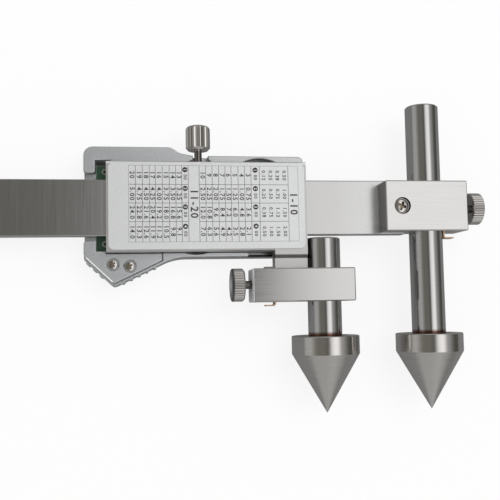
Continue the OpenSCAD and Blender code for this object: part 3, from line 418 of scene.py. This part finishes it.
# %% Every solid gets its finish
FINISHES = {
    beam_steel: ["beam"],
    block_steel: ["end_stop", "fixed_block"],
    arm_steel: ["slider_block"],
    frame_steel: ["slider_frame"],
    rod_steel: ["fixed_rod", "slider_rod"],
    cone_steel: ["fixed_cone", "slider_cone"],
    knob_nickel: ["lock_screw"],
    knob_steel: ["fixed_clamp_screw", "slider_clamp_screw"],
    screw_steel: ["fixed_block_screw", "thumb_rest_screws", "end_stop_screws"],
    dark_screw: ["gib_screws", "housing_screws"],
    leaf_copper: ["fixed_clamp_leaf", "slider_clamp_leaf"],
    gib_bronze: ["gib_strip"],
    contact_gold: ["battery_contact_positive", "battery_contact_negative"],
    cell_steel: ["battery"],
    housing_alloy: ["front_housing", "thumb_rest_cover"],
    plate_aluminium: ["back_plate"],
    board_green: ["circuit_board"],
    scale_laminate: ["capacitive_scale"],
    scale_film: ["scale_film"],
    switch_black: ["button_switches"],
    connector_rubber: ["lcd_connectors"],
    face_grey: ["face_plate"],
    button_grey: ["power_button", "zero_button", "unit_button"],
    cover_black: ["battery_cover"],
    display_glass: ["lcd_panel"],
    window_clear: ["lcd_window"],
}
for finish, names in FINISHES.items():
    for name in names:
        for each in solids[name].material_slots:
            each.material = finish
missing = set(solids) - {name for names in FINISHES.values() for name in names}
print("solids without a finish:", sorted(missing))

# %% [markdown]
# A new piece that stands for a solid has to ride on the same body and hide the solid. The record
# says which body each solid has. Modifiers are added, set and applied in one go, on the one piece
# that is selected.

# %% Helpers for pieces that stand for a solid
BODY_OF = {name: body for body, names in frame["record"]["behaviour"]["bodies"].items()
           for name in names}


def only(piece):
    """Makes a piece the one selected and active object."""
    bpy.ops.object.select_all(action="DESELECT")
    piece.select_set(True)
    bpy.context.view_layer.objects.active = piece


def apply_modifier(piece, kind, **settings):
    """Adds a modifier to the active piece, sets it and applies it."""
    step = piece.modifiers.new(kind.lower(), kind)
    for key, value in settings.items():
        setattr(step, key, value)
    bpy.ops.object.modifier_apply(modifier=step.name)


def stand_in(piece, solid):
    """The piece rides and shows as the CAD solid that it replaces."""
    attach(piece, BODY_OF[solid])
    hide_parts(solid)


print("bodies:", sorted(set(BODY_OF.values())))

# %% [markdown]
# No real edge is a knife edge. The housing and the other moulded pieces are copied from the CAD
# model, their loose triangles are merged and the flat ones melted together, and the edges on the
# named levels get a small round. Weighted normals keep the flats flat beside the rounds. Where the
# housing's wall is thin, its edges get a third of the round, so that the rounds don't meet.

# %% Rounded edges on moulded and stamped pieces
RIM, REST, PLATE_TOP, FACE, LID, KEY = 1.5, -10.6, 5.70, -10.1, -10.4, -10.4
ROUNDS = [("front_housing", 0.35, [RIM, REST]), ("thumb_rest_cover", 0.30, [RIM]),
          ("back_plate", 0.12, [PLATE_TOP]), ("face_plate", 0.05, [FACE]),
          ("battery_cover", 0.20, [LID]), ("power_button", 0.35, [KEY]),
          ("zero_button", 0.35, [KEY]), ("unit_button", 0.35, [KEY])]
MERGED, LEVEL_PLAY, RIM_PLAY = 0.003, 0.02, 0.11
MELTED, SHARP = math.radians(0.6), math.radians(35)
THIN_WALL_Y = {"front_housing": -12.8}
THIN_SHARE = 0.35
NO_THIN_WALL = -99.0


def melted_copy(name):
    """A copy of a CAD solid whose triangles are merged, and whose flats are one face each."""
    piece = bpy.data.objects.new(name + "_rounded", solids[name].data.copy())
    bpy.context.collection.objects.link(piece)
    only(piece)
    bpy.ops.object.mode_set(mode="EDIT")
    bpy.ops.mesh.select_all(action="SELECT")
    bpy.ops.mesh.remove_doubles(threshold=MERGED * MM)
    bpy.ops.mesh.dissolve_limited(angle_limit=MELTED)
    bpy.ops.object.mode_set(mode="OBJECT")
    return piece


def weigh_edges(piece, levels, thin_y):
    """Weights the sharp edges on the given levels, less on the rim where the wall is thin."""
    heights = [place(0, 0, level).z for level in levels]
    thin_below, rim = place(0, thin_y, RIM).yz
    shape = bmesh.new()
    shape.from_mesh(piece.data)
    mark = shape.edges.layers.float.new("bevel_weight_edge")
    for edge in shape.edges:
        low, high = sorted(corner.co.z for corner in edge.verts)
        level = any(max(abs(low - h), abs(high - h)) < LEVEL_PLAY * MM for h in heights)
        if level and edge.is_manifold and edge.calc_face_angle_signed() > SHARP:
            thin = low > rim - RIM_PLAY * MM and edge.verts[0].co.y < thin_below
            edge[mark] = THIN_SHARE if thin else 1.0
    shape.to_mesh(piece.data)
    shape.free()


for name, width, levels in ROUNDS:
    piece = melted_copy(name)
    weigh_edges(piece, levels, THIN_WALL_Y.get(name, NO_THIN_WALL))
    apply_modifier(piece, "BEVEL", width=width * MM, segments=3, limit_method="WEIGHT",
                   loop_slide=False, use_clamp_overlap=False)
    bpy.ops.object.shade_smooth_by_angle(angle=SHARP)
    apply_modifier(piece, "WEIGHTED_NORMAL", keep_sharp=True)
    stand_in(piece, name)
    print(piece.name, len(piece.data.polygons), "faces")

# %% [markdown]
# A cross-head screw is turned, domed and then struck with a cross. The blank starts as a cylinder
# whose top is inset and raised in steps, and whose foot is inset and drawn out to the shank. All
# its proportions are shares of the head's diameter and height, so that one recipe makes every
# size.

# %% The blank of a cross-head screw
DOME = ((0.06, -0.10), (0.10, 0.09), (0.20, 0.09), (0.30, 0.06))
DOME_TOP = 1.14


def screw_blank(name, at, head_d, head_h, shank_d, shank_len):
    """A turned screw with a domed head, which stands on its seat at the scene point at."""
    bpy.ops.object.select_all(action="DESELECT")
    bpy.ops.mesh.primitive_cylinder_add(vertices=48, radius=head_d / 2 * MM, depth=head_h * MM,
                                        location=at + Vector((0, 0, head_h / 2 * MM)))
    screw = bpy.context.object
    screw.name = name
    bpy.ops.object.transform_apply(location=True, rotation=False, scale=False)
    bpy.ops.object.mode_set(mode="EDIT")
    dome = [(inset * head_d / 2, rise * head_h) for inset, rise in DOME]
    for facing, steps in ((1, dome), (-1, [((head_d - shank_d) / 2, 0.0)])):
        shape = bmesh.from_edit_mesh(screw.data)
        for face in shape.faces:
            face.select_set(face.normal.z * facing > 0.9)
        bmesh.update_edit_mesh(screw.data)
        for inset, rise in steps:
            bpy.ops.mesh.inset(thickness=inset * MM)
            bpy.ops.transform.translate(value=(0, 0, rise * MM))
    bpy.ops.mesh.extrude_region_move(TRANSFORM_OT_translate={"value": (0, 0, -shank_len * MM)})
    bpy.ops.object.mode_set(mode="OBJECT")
    return screw


print("dome:", [(round(inset, 2), round(rise, 2)) for inset, rise in DOME])

# %% [markdown]
# The punch that strikes the cross has two tapered bars and a small cone, which cut the recess as
# Boolean modifiers. The recess's faces get a dark brown material of their own, which is painted
# shade.

# %% The strike, and the finished screw
BAR_LENGTH, BAR_WIDTH, BAR_DEPTH, BAR_SINK, BAR_TAPER = 0.66, 0.18, 0.80, 0.30, 0.62
TIP_R, BASE_R, CONE_DEPTH, CONE_SINK, CONE_TURN = 0.03, 0.19, 0.85, 0.38, 22.5
RECESS_LOW, RECESS_HIGH, RECESS_R = 0.2, 0.93, 0.34
STRUCK = math.radians(32)


def punch(at, top, turn, head_d, head_h):
    """The two bars and the cone that are cut out of a head, at its top and turned by degrees."""
    cutters = []
    for quarter in (0, 90):
        bpy.ops.mesh.primitive_cube_add(size=1,
                                        location=(at.x, at.y, top - BAR_SINK * head_h * MM))
        bar = bpy.context.object
        bar.scale = (head_d * BAR_LENGTH * MM, head_d * BAR_WIDTH * MM, head_h * BAR_DEPTH * MM)
        bar.rotation_euler.z = math.radians(turn + quarter)
        bpy.ops.object.transform_apply(location=True, rotation=True, scale=True)
        for corner in bar.data.vertices:
            if corner.co.z < top - BAR_SINK * head_h * MM:
                corner.co.xy = Vector(at.xy) + (corner.co.xy - Vector(at.xy)) * BAR_TAPER
        cutters.append(bar)
    bpy.ops.mesh.primitive_cone_add(vertices=8, radius1=TIP_R * head_d * MM,
                                    radius2=BASE_R * head_d * MM, depth=CONE_DEPTH * head_h * MM,
                                    location=(at.x, at.y, top - CONE_SINK * head_h * MM))
    cutters.append(bpy.context.object)
    cutters[-1].rotation_euler.z = math.radians(turn + CONE_TURN)
    return cutters


def cross_screw(name, at, turn, head_d, head_h, shank_d, shank_len):
    """A finished screw whose cross is turned by degrees."""
    screw = screw_blank(name, at, head_d, head_h, shank_d, shank_len)
    cutters = punch(at, at.z + head_h * MM * DOME_TOP, turn, head_d, head_h)
    only(screw)
    for cutter in cutters:
        apply_modifier(screw, "BOOLEAN", operation="DIFFERENCE", object=cutter)
        bpy.data.objects.remove(cutter)
    bpy.ops.object.shade_smooth_by_angle(angle=STRUCK)
    screw.data.materials.clear()
    screw.data.materials.append(screw_steel)
    screw.data.materials.append(recess_painted_shade)
    # faces deep in the cross take the painted shade
    for face in screw.data.polygons:
        up = (face.center.z - at.z) / (head_h * MM)
        out = (face.center.xy - at.xy).length / (head_d * MM)
        if RECESS_LOW < up < RECESS_HIGH and out < RECESS_R:
            face.material_index = 1
    return screw


def join(pieces, name):
    """One object out of several, under one name."""
    bpy.ops.object.select_all(action="DESELECT")
    for each in pieces:
        each.select_set(True)
    bpy.context.view_layer.objects.active = pieces[0]
    bpy.ops.object.join()
    pieces[0].name = name
    return pieces[0]


print("screw helpers:", [each.__name__ for each in (punch, cross_screw, join)])

# %% [markdown]
# Five such screws show: one holds the fixed block on the beam, two close the thumb rest and two
# hold the end stop. A screwdriver never leaves two crosses at the same angle, so each has its own
# turn. The pairs become one object each, as they are one node in the CAD model.

# %% The five cross-head screws
BLOCK_SCREW = {"head_d": 4.4, "head_h": 1.45, "shank_d": 2.5, "shank_len": 9.0}
REST_SCREW = {"head_d": 2.8, "head_h": 0.78, "shank_d": 1.5, "shank_len": 4.4}
STOP_SCREW = {"head_d": 2.8, "head_h": 0.7, "shank_d": 1.6, "shank_len": 3.9}
REST_PLACES = ((-60.05, -16.0, 38), (-55.35, -16.5, 28))
STOP_PLACES = ((-3.5, 1.5), (3.5, 22.5))
block_screw = cross_screw("fixed_block_cross_screw", place(-8.7, -0.35, 7.0), -20, **BLOCK_SCREW)
stand_in(block_screw, "fixed_block_screw")
rest_pair = [cross_screw("thumb_screw", place(SLIDER_X + x, y, 0.6), turn, **REST_SCREW)
             for x, y, turn in REST_PLACES]
stop_pair = [cross_screw("stop_screw", place(-215.05, y, 3.6), turn, **STOP_SCREW)
             for y, turn in STOP_PLACES]
thumb_screws = join(rest_pair, "thumb_rest_cross_screws")
stand_in(thumb_screws, "thumb_rest_screws")
stop_screws = join(stop_pair, "end_stop_cross_screws")
stand_in(stop_screws, "end_stop_screws")
print("screws:", [each.name for each in (block_screw, thumb_screws, stop_screws)])

# %% [markdown]
# The back plate carries a printed table. It is a generic one here: plain ruled columns with plain
# numbers. Each block of the table starts as one flat plane, which is bisected where a line runs.
# The Wireframe modifier turns the edges into thin printed lines.

# %% The table's ruled lines
INK_H, LINE_W = 0.012, 0.17
ROWS = [11.45, 6.05, 0.80, -4.43, -10.15]
LEFT_COLUMNS = [-86.63, -84.71, -82.79, -80.86, -79.20, -77.26, -75.32, -73.51, -71.83, -70.01]
RIGHT_COLUMNS = [-66.92, -65.09, -63.26, -61.42, -59.57, -57.87, -55.87, -54.01, -52.15]
HEAD_COLUMNS = [-52.15, -49.75, -41.45]
TABLE_END = -38.54
OUTER_ROWS = [ROWS[0], ROWS[-1]]
plate_top = place(0, 0, PLATE_TOP).z


def ruled_block(columns, rows):
    """A flat plane cut at the given columns and rows, left as its lines."""
    low = place(columns[0], rows[-1], PLATE_TOP)
    high = place(columns[-1], rows[0], PLATE_TOP)
    bpy.ops.object.select_all(action="DESELECT")
    bpy.ops.mesh.primitive_plane_add(size=1, location=(low + high) / 2)
    block = bpy.context.object
    block.scale = (high.x - low.x, high.y - low.y, 1)
    bpy.ops.object.transform_apply(location=True, rotation=False, scale=True)
    bpy.ops.object.mode_set(mode="EDIT")
    cuts = [(place(x, 0, 0), (1, 0, 0)) for x in columns[1:-1]]
    cuts += [(place(0, y, 0), (0, 1, 0)) for y in rows[1:-1]]
    for point, normal in cuts:
        bpy.ops.mesh.select_all(action="SELECT")
        bpy.ops.mesh.bisect(plane_co=point, plane_no=normal)
    bpy.ops.object.mode_set(mode="OBJECT")
    apply_modifier(block, "WIREFRAME", thickness=LINE_W * MM, use_even_offset=False)
    for corner in block.data.vertices:
        corner.co.z = plate_top + (INK_H * MM if corner.co.z > plate_top else 0.0)
    return block


printed = [ruled_block(columns, rows) for columns, rows in (
    (LEFT_COLUMNS, ROWS), ([LEFT_COLUMNS[-1], RIGHT_COLUMNS[0]], OUTER_ROWS),
    (RIGHT_COLUMNS, ROWS), (HEAD_COLUMNS, ROWS), ([HEAD_COLUMNS[-1], TABLE_END], OUTER_ROWS))]
print("ruled blocks:", len(printed))

# %% [markdown]
# The numbers are modelled once each, from the plain built-in font, and stamped where they belong:
# a table has hundreds of them, and a shape that repeats is better copied than made again. A round
# dot and a bar are stamped in the same way.

# %% One glyph each
SIGNS = list("0123456789.-ONF/") + ["dot", "bar"]
INK_SPREAD = 0.018
OWN_ADVANCE = {".": 0.30, "-": 0.45, "/": 0.45, "O": 0.78, "N": 0.75}


def make_glyph(sign):
    """The mesh of one sign, a unit high, with a thin body of ink on z = 0."""
    bpy.ops.object.select_all(action="DESELECT")
    if sign == "dot":
        bpy.ops.mesh.primitive_cylinder_add(vertices=20, radius=0.5, depth=1)
    elif sign == "bar":
        bpy.ops.mesh.primitive_cube_add(size=1)
    else:
        bpy.ops.object.text_add()
        text = bpy.context.object.data
        text.body = sign
        text.align_x = "CENTER"
        text.align_y = "CENTER"
        text.resolution_u = 2
        text.extrude = 0.5
        text.offset = INK_SPREAD
        bpy.ops.object.convert(target="MESH")
    kept = bpy.context.object.data.copy()
    bpy.data.objects.remove(bpy.context.object)
    return kept


GLYPHS = {sign: make_glyph(sign) for sign in SIGNS}
ADVANCE = {sign: OWN_ADVANCE.get(sign, 0.6) for sign in SIGNS}
print("glyphs:", len(GLYPHS))

# %% [markdown]
# A stamp sets glyphs into one mesh that is still being built, so that a whole print is one light
# piece. Each sign moves on by its own advance, and the line as a whole is centred on its place.

# %% The stamp that sets them


def press(target, sign, pose, size):
    """Adds one sign to the bmesh target, by a 4 x 4 pose and its size along x, y and z."""
    first = len(target.verts)
    target.from_mesh(GLYPHS[sign])
    target.verts.ensure_lookup_table()
    bmesh.ops.transform(target, matrix=pose @ Matrix.Diagonal((*size, 1)),
                        verts=target.verts[first:])


def stamp(target, words, pose, size, thick=INK_H):
    """Adds a line of signs to the bmesh target, centred on a 4 x 4 pose."""
    along = -sum(ADVANCE[sign] for sign in words) / 2
    for sign in words:
        along += ADVANCE[sign] / 2
        shift = Matrix.Translation((along * size, 0, thick * MM / 2))
        press(target, sign, pose @ shift, (size, size, thick * MM))
        along += ADVANCE[sign] / 2


def printing(ink, name, finish, body):
    """A bmesh of stamped signs as a piece that rides on a body."""
    piece = bpy.data.objects.new(name, bpy.data.meshes.new(name))
    bpy.context.collection.objects.link(piece)
    ink.to_mesh(piece.data)
    ink.free()
    piece.data.materials.append(finish)
    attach(piece, body)
    return piece


print("stamp helpers:", [each.__name__ for each in (press, stamp, printing)])

# %% [markdown]
# The table's columns count down from 20 and from 10. Below each count stand a quarter of it and
# two more multiples, so every entry is a plain number that names nothing. Two columns of black
# dots carry pale numbers, and the two large entries say which columns belong together.

# %% Plain numbers in the table
NUMBER_H, ZEROS_H, STEP_H, SPAN_H = 1.85, 1.35, 1.45, 3.0
DOT_D, DOT_UP, DOT_NUMBER_H, PALE_H, ZEROS_DOWN = 1.5, 1.5, 1.3, 0.006, 0.6
DOT_COLUMNS = (-70.92, -50.95)
STEP_COLUMNS = (-42.6, -44.6, -46.6, -48.6)
SPAN_Y, SPANS = 0.65, (("11-20", -68.47), ("1-10", -40.0))


def on_plate(x, y, lift=0.0):
    """A pose on the back plate whose writing runs down the plate, as in the photograph."""
    return Matrix.Translation(place(x, y, PLATE_TOP + lift)) @ Matrix.Rotation(-math.pi / 2, 4, "Z")


ink, pale = bmesh.new(), bmesh.new()
middles = [(upper + lower) / 2 for upper, lower in zip(ROWS, ROWS[1:])]
for columns, first in ((LEFT_COLUMNS[:-1], 20), (RIGHT_COLUMNS, 10)):
    for step, (left, right) in enumerate(zip(columns, columns[1:])):
        count = first - step
        words = (f"{count}", f"{count / 4:.2f}", f"{count * 1.2:.1f}", f"{count * 0.7:.1f}")
        for y, word in zip(middles, words):
            stamp(ink, word, on_plate((left + right) / 2, y), NUMBER_H * MM)
for x in DOT_COLUMNS:
    for row, y in enumerate(middles, 1):
        press(ink, "dot", on_plate(x, y + DOT_UP, INK_H / 2), Vector((DOT_D, DOT_D, INK_H)) * MM)
        stamp(pale, str(row), on_plate(x, y + DOT_UP, INK_H), DOT_NUMBER_H * MM, PALE_H)
        stamp(ink, "00", on_plate(x, y - ZEROS_DOWN), ZEROS_H * MM)
for line, x in enumerate(STEP_COLUMNS):
    for row, y in enumerate(middles, 1):
        stamp(ink, f"{(4 - line) * row / 8:.2f}", on_plate(x, y), STEP_H * MM)
for words, x in SPANS:
    stamp(ink, words, on_plate(x, SPAN_Y), SPAN_H * MM)
printed.append(printing(ink, "table_numbers", printing_ink, "slider"))
table = join(printed[::-1], "printed_table")
table.data.materials.clear()
table.data.materials.append(printing_ink)
knockouts = printing(pale, "table_dot_numbers", plate_aluminium, "slider")
print("printed table:", len(table.data.polygons), "faces, and", knockouts.name)

# %% [markdown]
# The other side carries its own print. The film on the beam has a plain ruler, in millimetres
# along one edge and in sixteenths of an inch along the other. It rides on the beam, so the slider
# runs along it. Longer lines mark every fifth and tenth, or every fourth and sixteenth.

# %% Ruler on the beam's film
FILM_FRONT, ZERO_X, INCH = -2.55, -4.9, 25.4
TICK_W, MARGIN, END_CLEAR = 0.16, 0.2, 3
FIRST_MM, MM_REACHES, MM_NUMBER_Y, MM_NUMBER_H = 8, (3.0, 2.3, 1.5), 4.2, 1.9
FIRST_16TH, INCH_REACHES, INCH_NUMBER_Y, INCH_NUMBER_H = 5, (2.6, 1.9, 1.3), 3.6, 1.7
film_low, film_high = (Vector(corner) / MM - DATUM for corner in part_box("scale_film"))
FILM_LENGTH = ZERO_X - film_low.x


def on_front(x, y, level):
    """A pose on a face of the display side, whose writing reads from that side."""
    return Matrix.Translation(place(x, y, level)) @ Matrix.Rotation(math.pi, 4, "Y")


def tick(target, x, edge, reach):
    """Adds a line that runs from an edge of the film towards its middle."""
    press(target, "bar", on_front(x, edge - reach / 2, FILM_FRONT - INK_H / 2),
          (TICK_W * MM, abs(reach) * MM, INK_H * MM))


def reach_of(count, whole, part, reaches):
    """A line's length: the longest at a whole step, the next at a part of one."""
    return reaches[0] if count % whole == 0 else reaches[1] if count % part == 0 else reaches[2]


rule = bmesh.new()
for count in range(FIRST_MM, int(FILM_LENGTH) - 1):
    x = ZERO_X - count
    tick(rule, x, film_high.y - MARGIN, reach_of(count, 10, 5, MM_REACHES))
    if count % 10 == 0 and x > film_low.x + END_CLEAR:
        at = on_front(x, film_high.y - MM_NUMBER_Y, FILM_FRONT)
        stamp(rule, str(count), at, MM_NUMBER_H * MM)
for count in range(FIRST_16TH, int(FILM_LENGTH / INCH * 16) - 1):
    x = ZERO_X - count * INCH / 16
    tick(rule, x, film_low.y + MARGIN, -reach_of(count, 16, 4, INCH_REACHES))
    if count % 16 == 0:
        at = on_front(x, film_low.y + INCH_NUMBER_Y, FILM_FRONT)
        stamp(rule, str(count // 16), at, INCH_NUMBER_H * MM)
ruler = printing(rule, "film_ruler", printing_ink, "beam_assembly")
print("film ruler:", len(ruler.data.polygons), "faces")

# %% [markdown]
# The display shows a reading in seven-segment digits. Every segment is the same bar, which is
# black where it is lit and a shade darker than the film where it isn't, as on a real display.

# %% The reading
GLASS = -8.5
DISPLAY_X, DISPLAY_Y = SLIDER_X - 48.5, 2.3
FIRST_DIGIT, PITCH, DIGIT_W, HALF_H, SLANT = 9.2, 4.6, 2.59, 2.75, 0.28
SEGMENT_LIFT, SEGMENT_W, SEGMENT_T = 0.05, 0.55, 0.02
UPRIGHT_BAR, FLAT_BAR = (SEGMENT_W, 2.3, SEGMENT_T), (2.0, SEGMENT_W, SEGMENT_T)
SEGMENTS = {"a": (0.0, 1.0, FLAT_BAR), "b": (0.5, 0.5, UPRIGHT_BAR),
            "c": (0.5, -0.5, UPRIGHT_BAR), "d": (0.0, -1.0, FLAT_BAR),
            "e": (-0.5, -0.5, UPRIGHT_BAR), "f": (-0.5, 0.5, UPRIGHT_BAR),
            "g": (0.0, 0.0, FLAT_BAR)}
SHOWN = {"3": "abgcd", "1": "bc", "5": "afgcd"}
POINT_SLOT, POINT_Y, POINT_D = 2.5, -0.7, 0.6


def digit_x(slot):
    """The middle of a digit's place, counted from the left of the display."""
    return DISPLAY_X + FIRST_DIGIT - PITCH * slot


lit, unlit = bmesh.new(), bmesh.new()
for slot, sign in enumerate(" 3115"):
    for name, (across, up, size) in SEGMENTS.items():
        x = digit_x(slot) - DIGIT_W * across - SLANT * up
        press(lit if name in SHOWN.get(sign, "") else unlit, "bar",
              on_front(x, DISPLAY_Y + HALF_H * up, GLASS - SEGMENT_LIFT), Vector(size) * MM)
press(lit, "dot", on_front(digit_x(POINT_SLOT), POINT_Y, GLASS - SEGMENT_LIFT),
      Vector((POINT_D, POINT_D, SEGMENT_T)) * MM)
reading = printing(lit, "display_reading", printing_ink, "slider")
ghost = printing(unlit, "display_unlit_segments", lcd_shade, "slider")
print("reading:", [piece.name for piece in (reading, ghost)])

# %% [markdown]
# The keys are marked on the face beside them, a pale film lies behind the reading, and two tinned
# pads ring the pegs that hold the circuit board. All of them are thin prints or foils, a few
# hundredths of a millimetre high, so they don't reach anything that moves.

# %% Key marks, the display's film and the board's pads
FACE_FRONT, MARK_Y, MARK_H = FACE, -4.15, 1.35
MARKS = ((-54.0, "ON/OFF"), (-46.5, "0"))
FILM_LIFT, FILM_SIZE = 0.02, (26.3, 9.6, 0.03)
BOARD_BACK, PEG_X, PEGS_Y = -2.9, SLIDER_X - 62.3, (11.0, -9.9)
PAD_R, PAD_LIFT, HOLE_R, HOLE_LIFT = 0.95, 0.02, 0.42, 0.05
FOIL_H, FOIL_TAPER = 0.04, 0.97
marks = bmesh.new()
for x, words in MARKS:
    stamp(marks, words, on_front(SLIDER_X + x, MARK_Y, FACE_FRONT), MARK_H * MM)
key_marks = printing(marks, "key_marks", label_white, "slider")
film = bmesh.new()
press(film, "bar", on_front(DISPLAY_X, DISPLAY_Y, GLASS - FILM_LIFT), Vector(FILM_SIZE) * MM)
backing = printing(film, "display_film", lcd_film, "slider")
pads, holes = bmesh.new(), bmesh.new()
for y in PEGS_Y:
    for target, radius, lift in ((pads, PAD_R, PAD_LIFT), (holes, HOLE_R, HOLE_LIFT)):
        bmesh.ops.create_cone(target, cap_ends=True, segments=32, radius1=radius * MM,
                              radius2=radius * FOIL_TAPER * MM, depth=FOIL_H * MM,
                              matrix=Matrix.Translation(place(PEG_X, y, BOARD_BACK + lift)))
tinned = printing(pads, "board_pads", pad_tin, "slider")
pierced = printing(holes, "board_pad_holes", printing_ink, "slider")
print("display side:", [piece.name for piece in (key_marks, backing, tinned, pierced)])

# %% [markdown]
# The caliper lies on a plain pale floor. For the camera and for reflections the floor is partly a
# white light of its own, so it stays white and still shows the object's soft shadow. All other
# rays find a darker paper, so that little light comes back up from it.

# %% The floor
PAPER_SEEN, PAPER_UNSEEN = grey(0.97), grey(0.17)
GLOW_SEEN, GLOW_MIRRORED = 0.84, 0.12
bpy.ops.object.select_all(action="DESELECT")
bpy.ops.mesh.primitive_plane_add(size=6.0, location=(0, 0, 0))
floor = bpy.context.object
floor.name = "floor"
paper = bpy.data.materials.new("floor_paper")
paper.use_nodes = True
tree = paper.node_tree
tree.nodes.remove(tree.nodes["Principled BSDF"])
rays = add_node(tree, "LightPath")
seen = add_node(tree, "Math", {0: rays.outputs["Is Camera Ray"],
                               1: rays.outputs["Is Transmission Ray"]}, operation="MAXIMUM")
paint = mix_colour(tree, seen.outputs[0], PAPER_UNSEEN, PAPER_SEEN)
matt = add_node(tree, "BsdfDiffuse", {"Color": paint})
glow = add_node(tree, "Emission", {"Color": grey(1.0), "Strength": 1.0})
plain = add_node(tree, "Math", {0: seen.outputs[0], 1: GLOW_SEEN}, operation="MULTIPLY")
shiny = add_node(tree, "Math", {0: rays.outputs["Is Glossy Ray"], 1: GLOW_MIRRORED},
                 operation="MULTIPLY")
share = add_node(tree, "Math", {0: plain.outputs[0], 1: shiny.outputs[0]}, operation="MAXIMUM")
both = add_node(tree, "MixShader", {0: share.outputs[0], 1: matt.outputs[0], 2: glow.outputs[0]})
tree.links.new(both.outputs[0], tree.nodes["Material Output"].inputs["Surface"])
floor.data.materials.append(paper)
print("floor:", floor.dimensions[:2])

# %% [markdown]
# Polished steel shows the studio more than itself. The photographed rods show long bands: a
# bright softbox above, slightly to the right, grey cards beside it and dark gaps between. The
# world paints those bands for reflections alone, by the direction's angle across the rods. The
# camera sees plain white, and matt surfaces get an even light.

# %% The studio
BANDS = [(-180, 0.5), (-130, 0.3), (-112, 0.12), (-94, 0.12), (-86, 0.45), (-64, 0.48),
         (-52, 0.28), (-42, 0.18), (-18, 0.18), (-10, 0.14), (-4, 0.11), (0, 0.32), (4, 0.70),
         (10, 0.98), (16, 1.16), (28, 1.2), (33, 0.85), (40, 0.42), (52, 0.32), (64, 0.15),
         (76, 0.08), (88, 0.10), (108, 0.16), (130, 0.4), (150, 0.9)]
DIM = 0.3
EVEN_LIGHT, ENDS_LIGHT, BEHIND = grey(0.62), grey(0.45), grey(1.0)
ENDS_SHARE = (0.55, 0.85)


def band_colour(level):
    """A dim band is a dark card, which is a little warm. A bright one is a neutral light."""
    return (level * 1.03, level * 1.01, level * 0.90, 1) if level < DIM else grey(level)


world = bpy.data.worlds.new("studio")
bpy.context.scene.world = world
world.use_nodes = True
tree = world.node_tree
sky = tree.nodes["Background"]
way = add_node(tree, "SeparateXYZ", {0: add_node(tree, "TexCoord").outputs["Generated"]})
angle = add_node(tree, "Math", {0: way.outputs["X"], 1: way.outputs["Z"]}, operation="ARCTAN2")
share = remap(tree, angle.outputs[0], 0.0, 1.0, -math.pi, math.pi)
ramp = add_node(tree, "ValToRGB", {"Fac": share})
stops = ramp.color_ramp.elements
while len(stops) < len(BANDS):
    stops.new(0.5)
for stop, (degrees, level) in zip(stops, BANDS):
    stop.position = (degrees + 180) / 360
for stop, (degrees, level) in zip(stops, BANDS):
    stop.color = band_colour(level)
tilt = add_node(tree, "Math", {0: way.outputs["Y"]}, operation="ABSOLUTE")
ends = remap(tree, tilt.outputs[0], 0.0, 1.0, *ENDS_SHARE)
mirrored = mix_colour(tree, ends, ramp.outputs["Color"], ENDS_LIGHT)
rays = add_node(tree, "LightPath")
even = mix_colour(tree, rays.outputs["Is Glossy Ray"], EVEN_LIGHT, mirrored)
through = add_node(tree, "Math", {0: rays.outputs["Is Camera Ray"],
                                  1: rays.outputs["Is Transmission Ray"]}, operation="MAXIMUM")
tree.links.new(mix_colour(tree, through.outputs[0], even, BEHIND), sky.inputs["Color"])
print("studio bands:", len(BANDS))

# %% [markdown]
# Two soft lamps shape the matt surfaces and cast the shadow on the floor. Reflections leave them
# out, because the bands already stand for the lights there.

# %% Lamps
LAMPS = [("key", (0.18, 0.12, 0.55), 0.35, 1.15), ("fill", (-0.30, -0.20, 0.50), 0.45, 0.35)]
AIM = Vector((0.04, 0, 0))
for name, spot, size, power in LAMPS:
    bpy.ops.object.light_add(type="AREA", location=spot)
    lamp = bpy.context.object
    lamp.name = name
    lamp.data.size = size
    lamp.data.energy = power
    lamp.visible_glossy = False
    lamp.rotation_euler = (AIM - Vector(spot)).to_track_quat("-Z", "Y").to_euler()
print("lamps:", len(LAMPS))

# %% [markdown]
# The camera stands where the photographer's stood. Its place and its angle were worked out from
# the edges of the beam, the slider and the rods in the photograph.

# %% The camera
SENSOR = 36.0
FOCAL_PIXELS = 757.511
FRAME_PIXELS = 500
STAND = (0.01684, -0.013854, 0.22742)
TURNED = (0.075, -0.145004, -0.008442)
bpy.ops.object.camera_add(location=STAND)
camera = bpy.context.object
camera.name = "camera"
camera.rotation_mode = "ZYX"
camera.rotation_euler = TURNED
camera.data.sensor_width = SENSOR
camera.data.lens = FOCAL_PIXELS / FRAME_PIXELS * SENSOR
camera.data.clip_start = 0.01
bpy.context.scene.camera = camera
bpy.context.scene.view_settings.view_transform = "Standard"
print("lens:", round(camera.data.lens, 2), "mm")
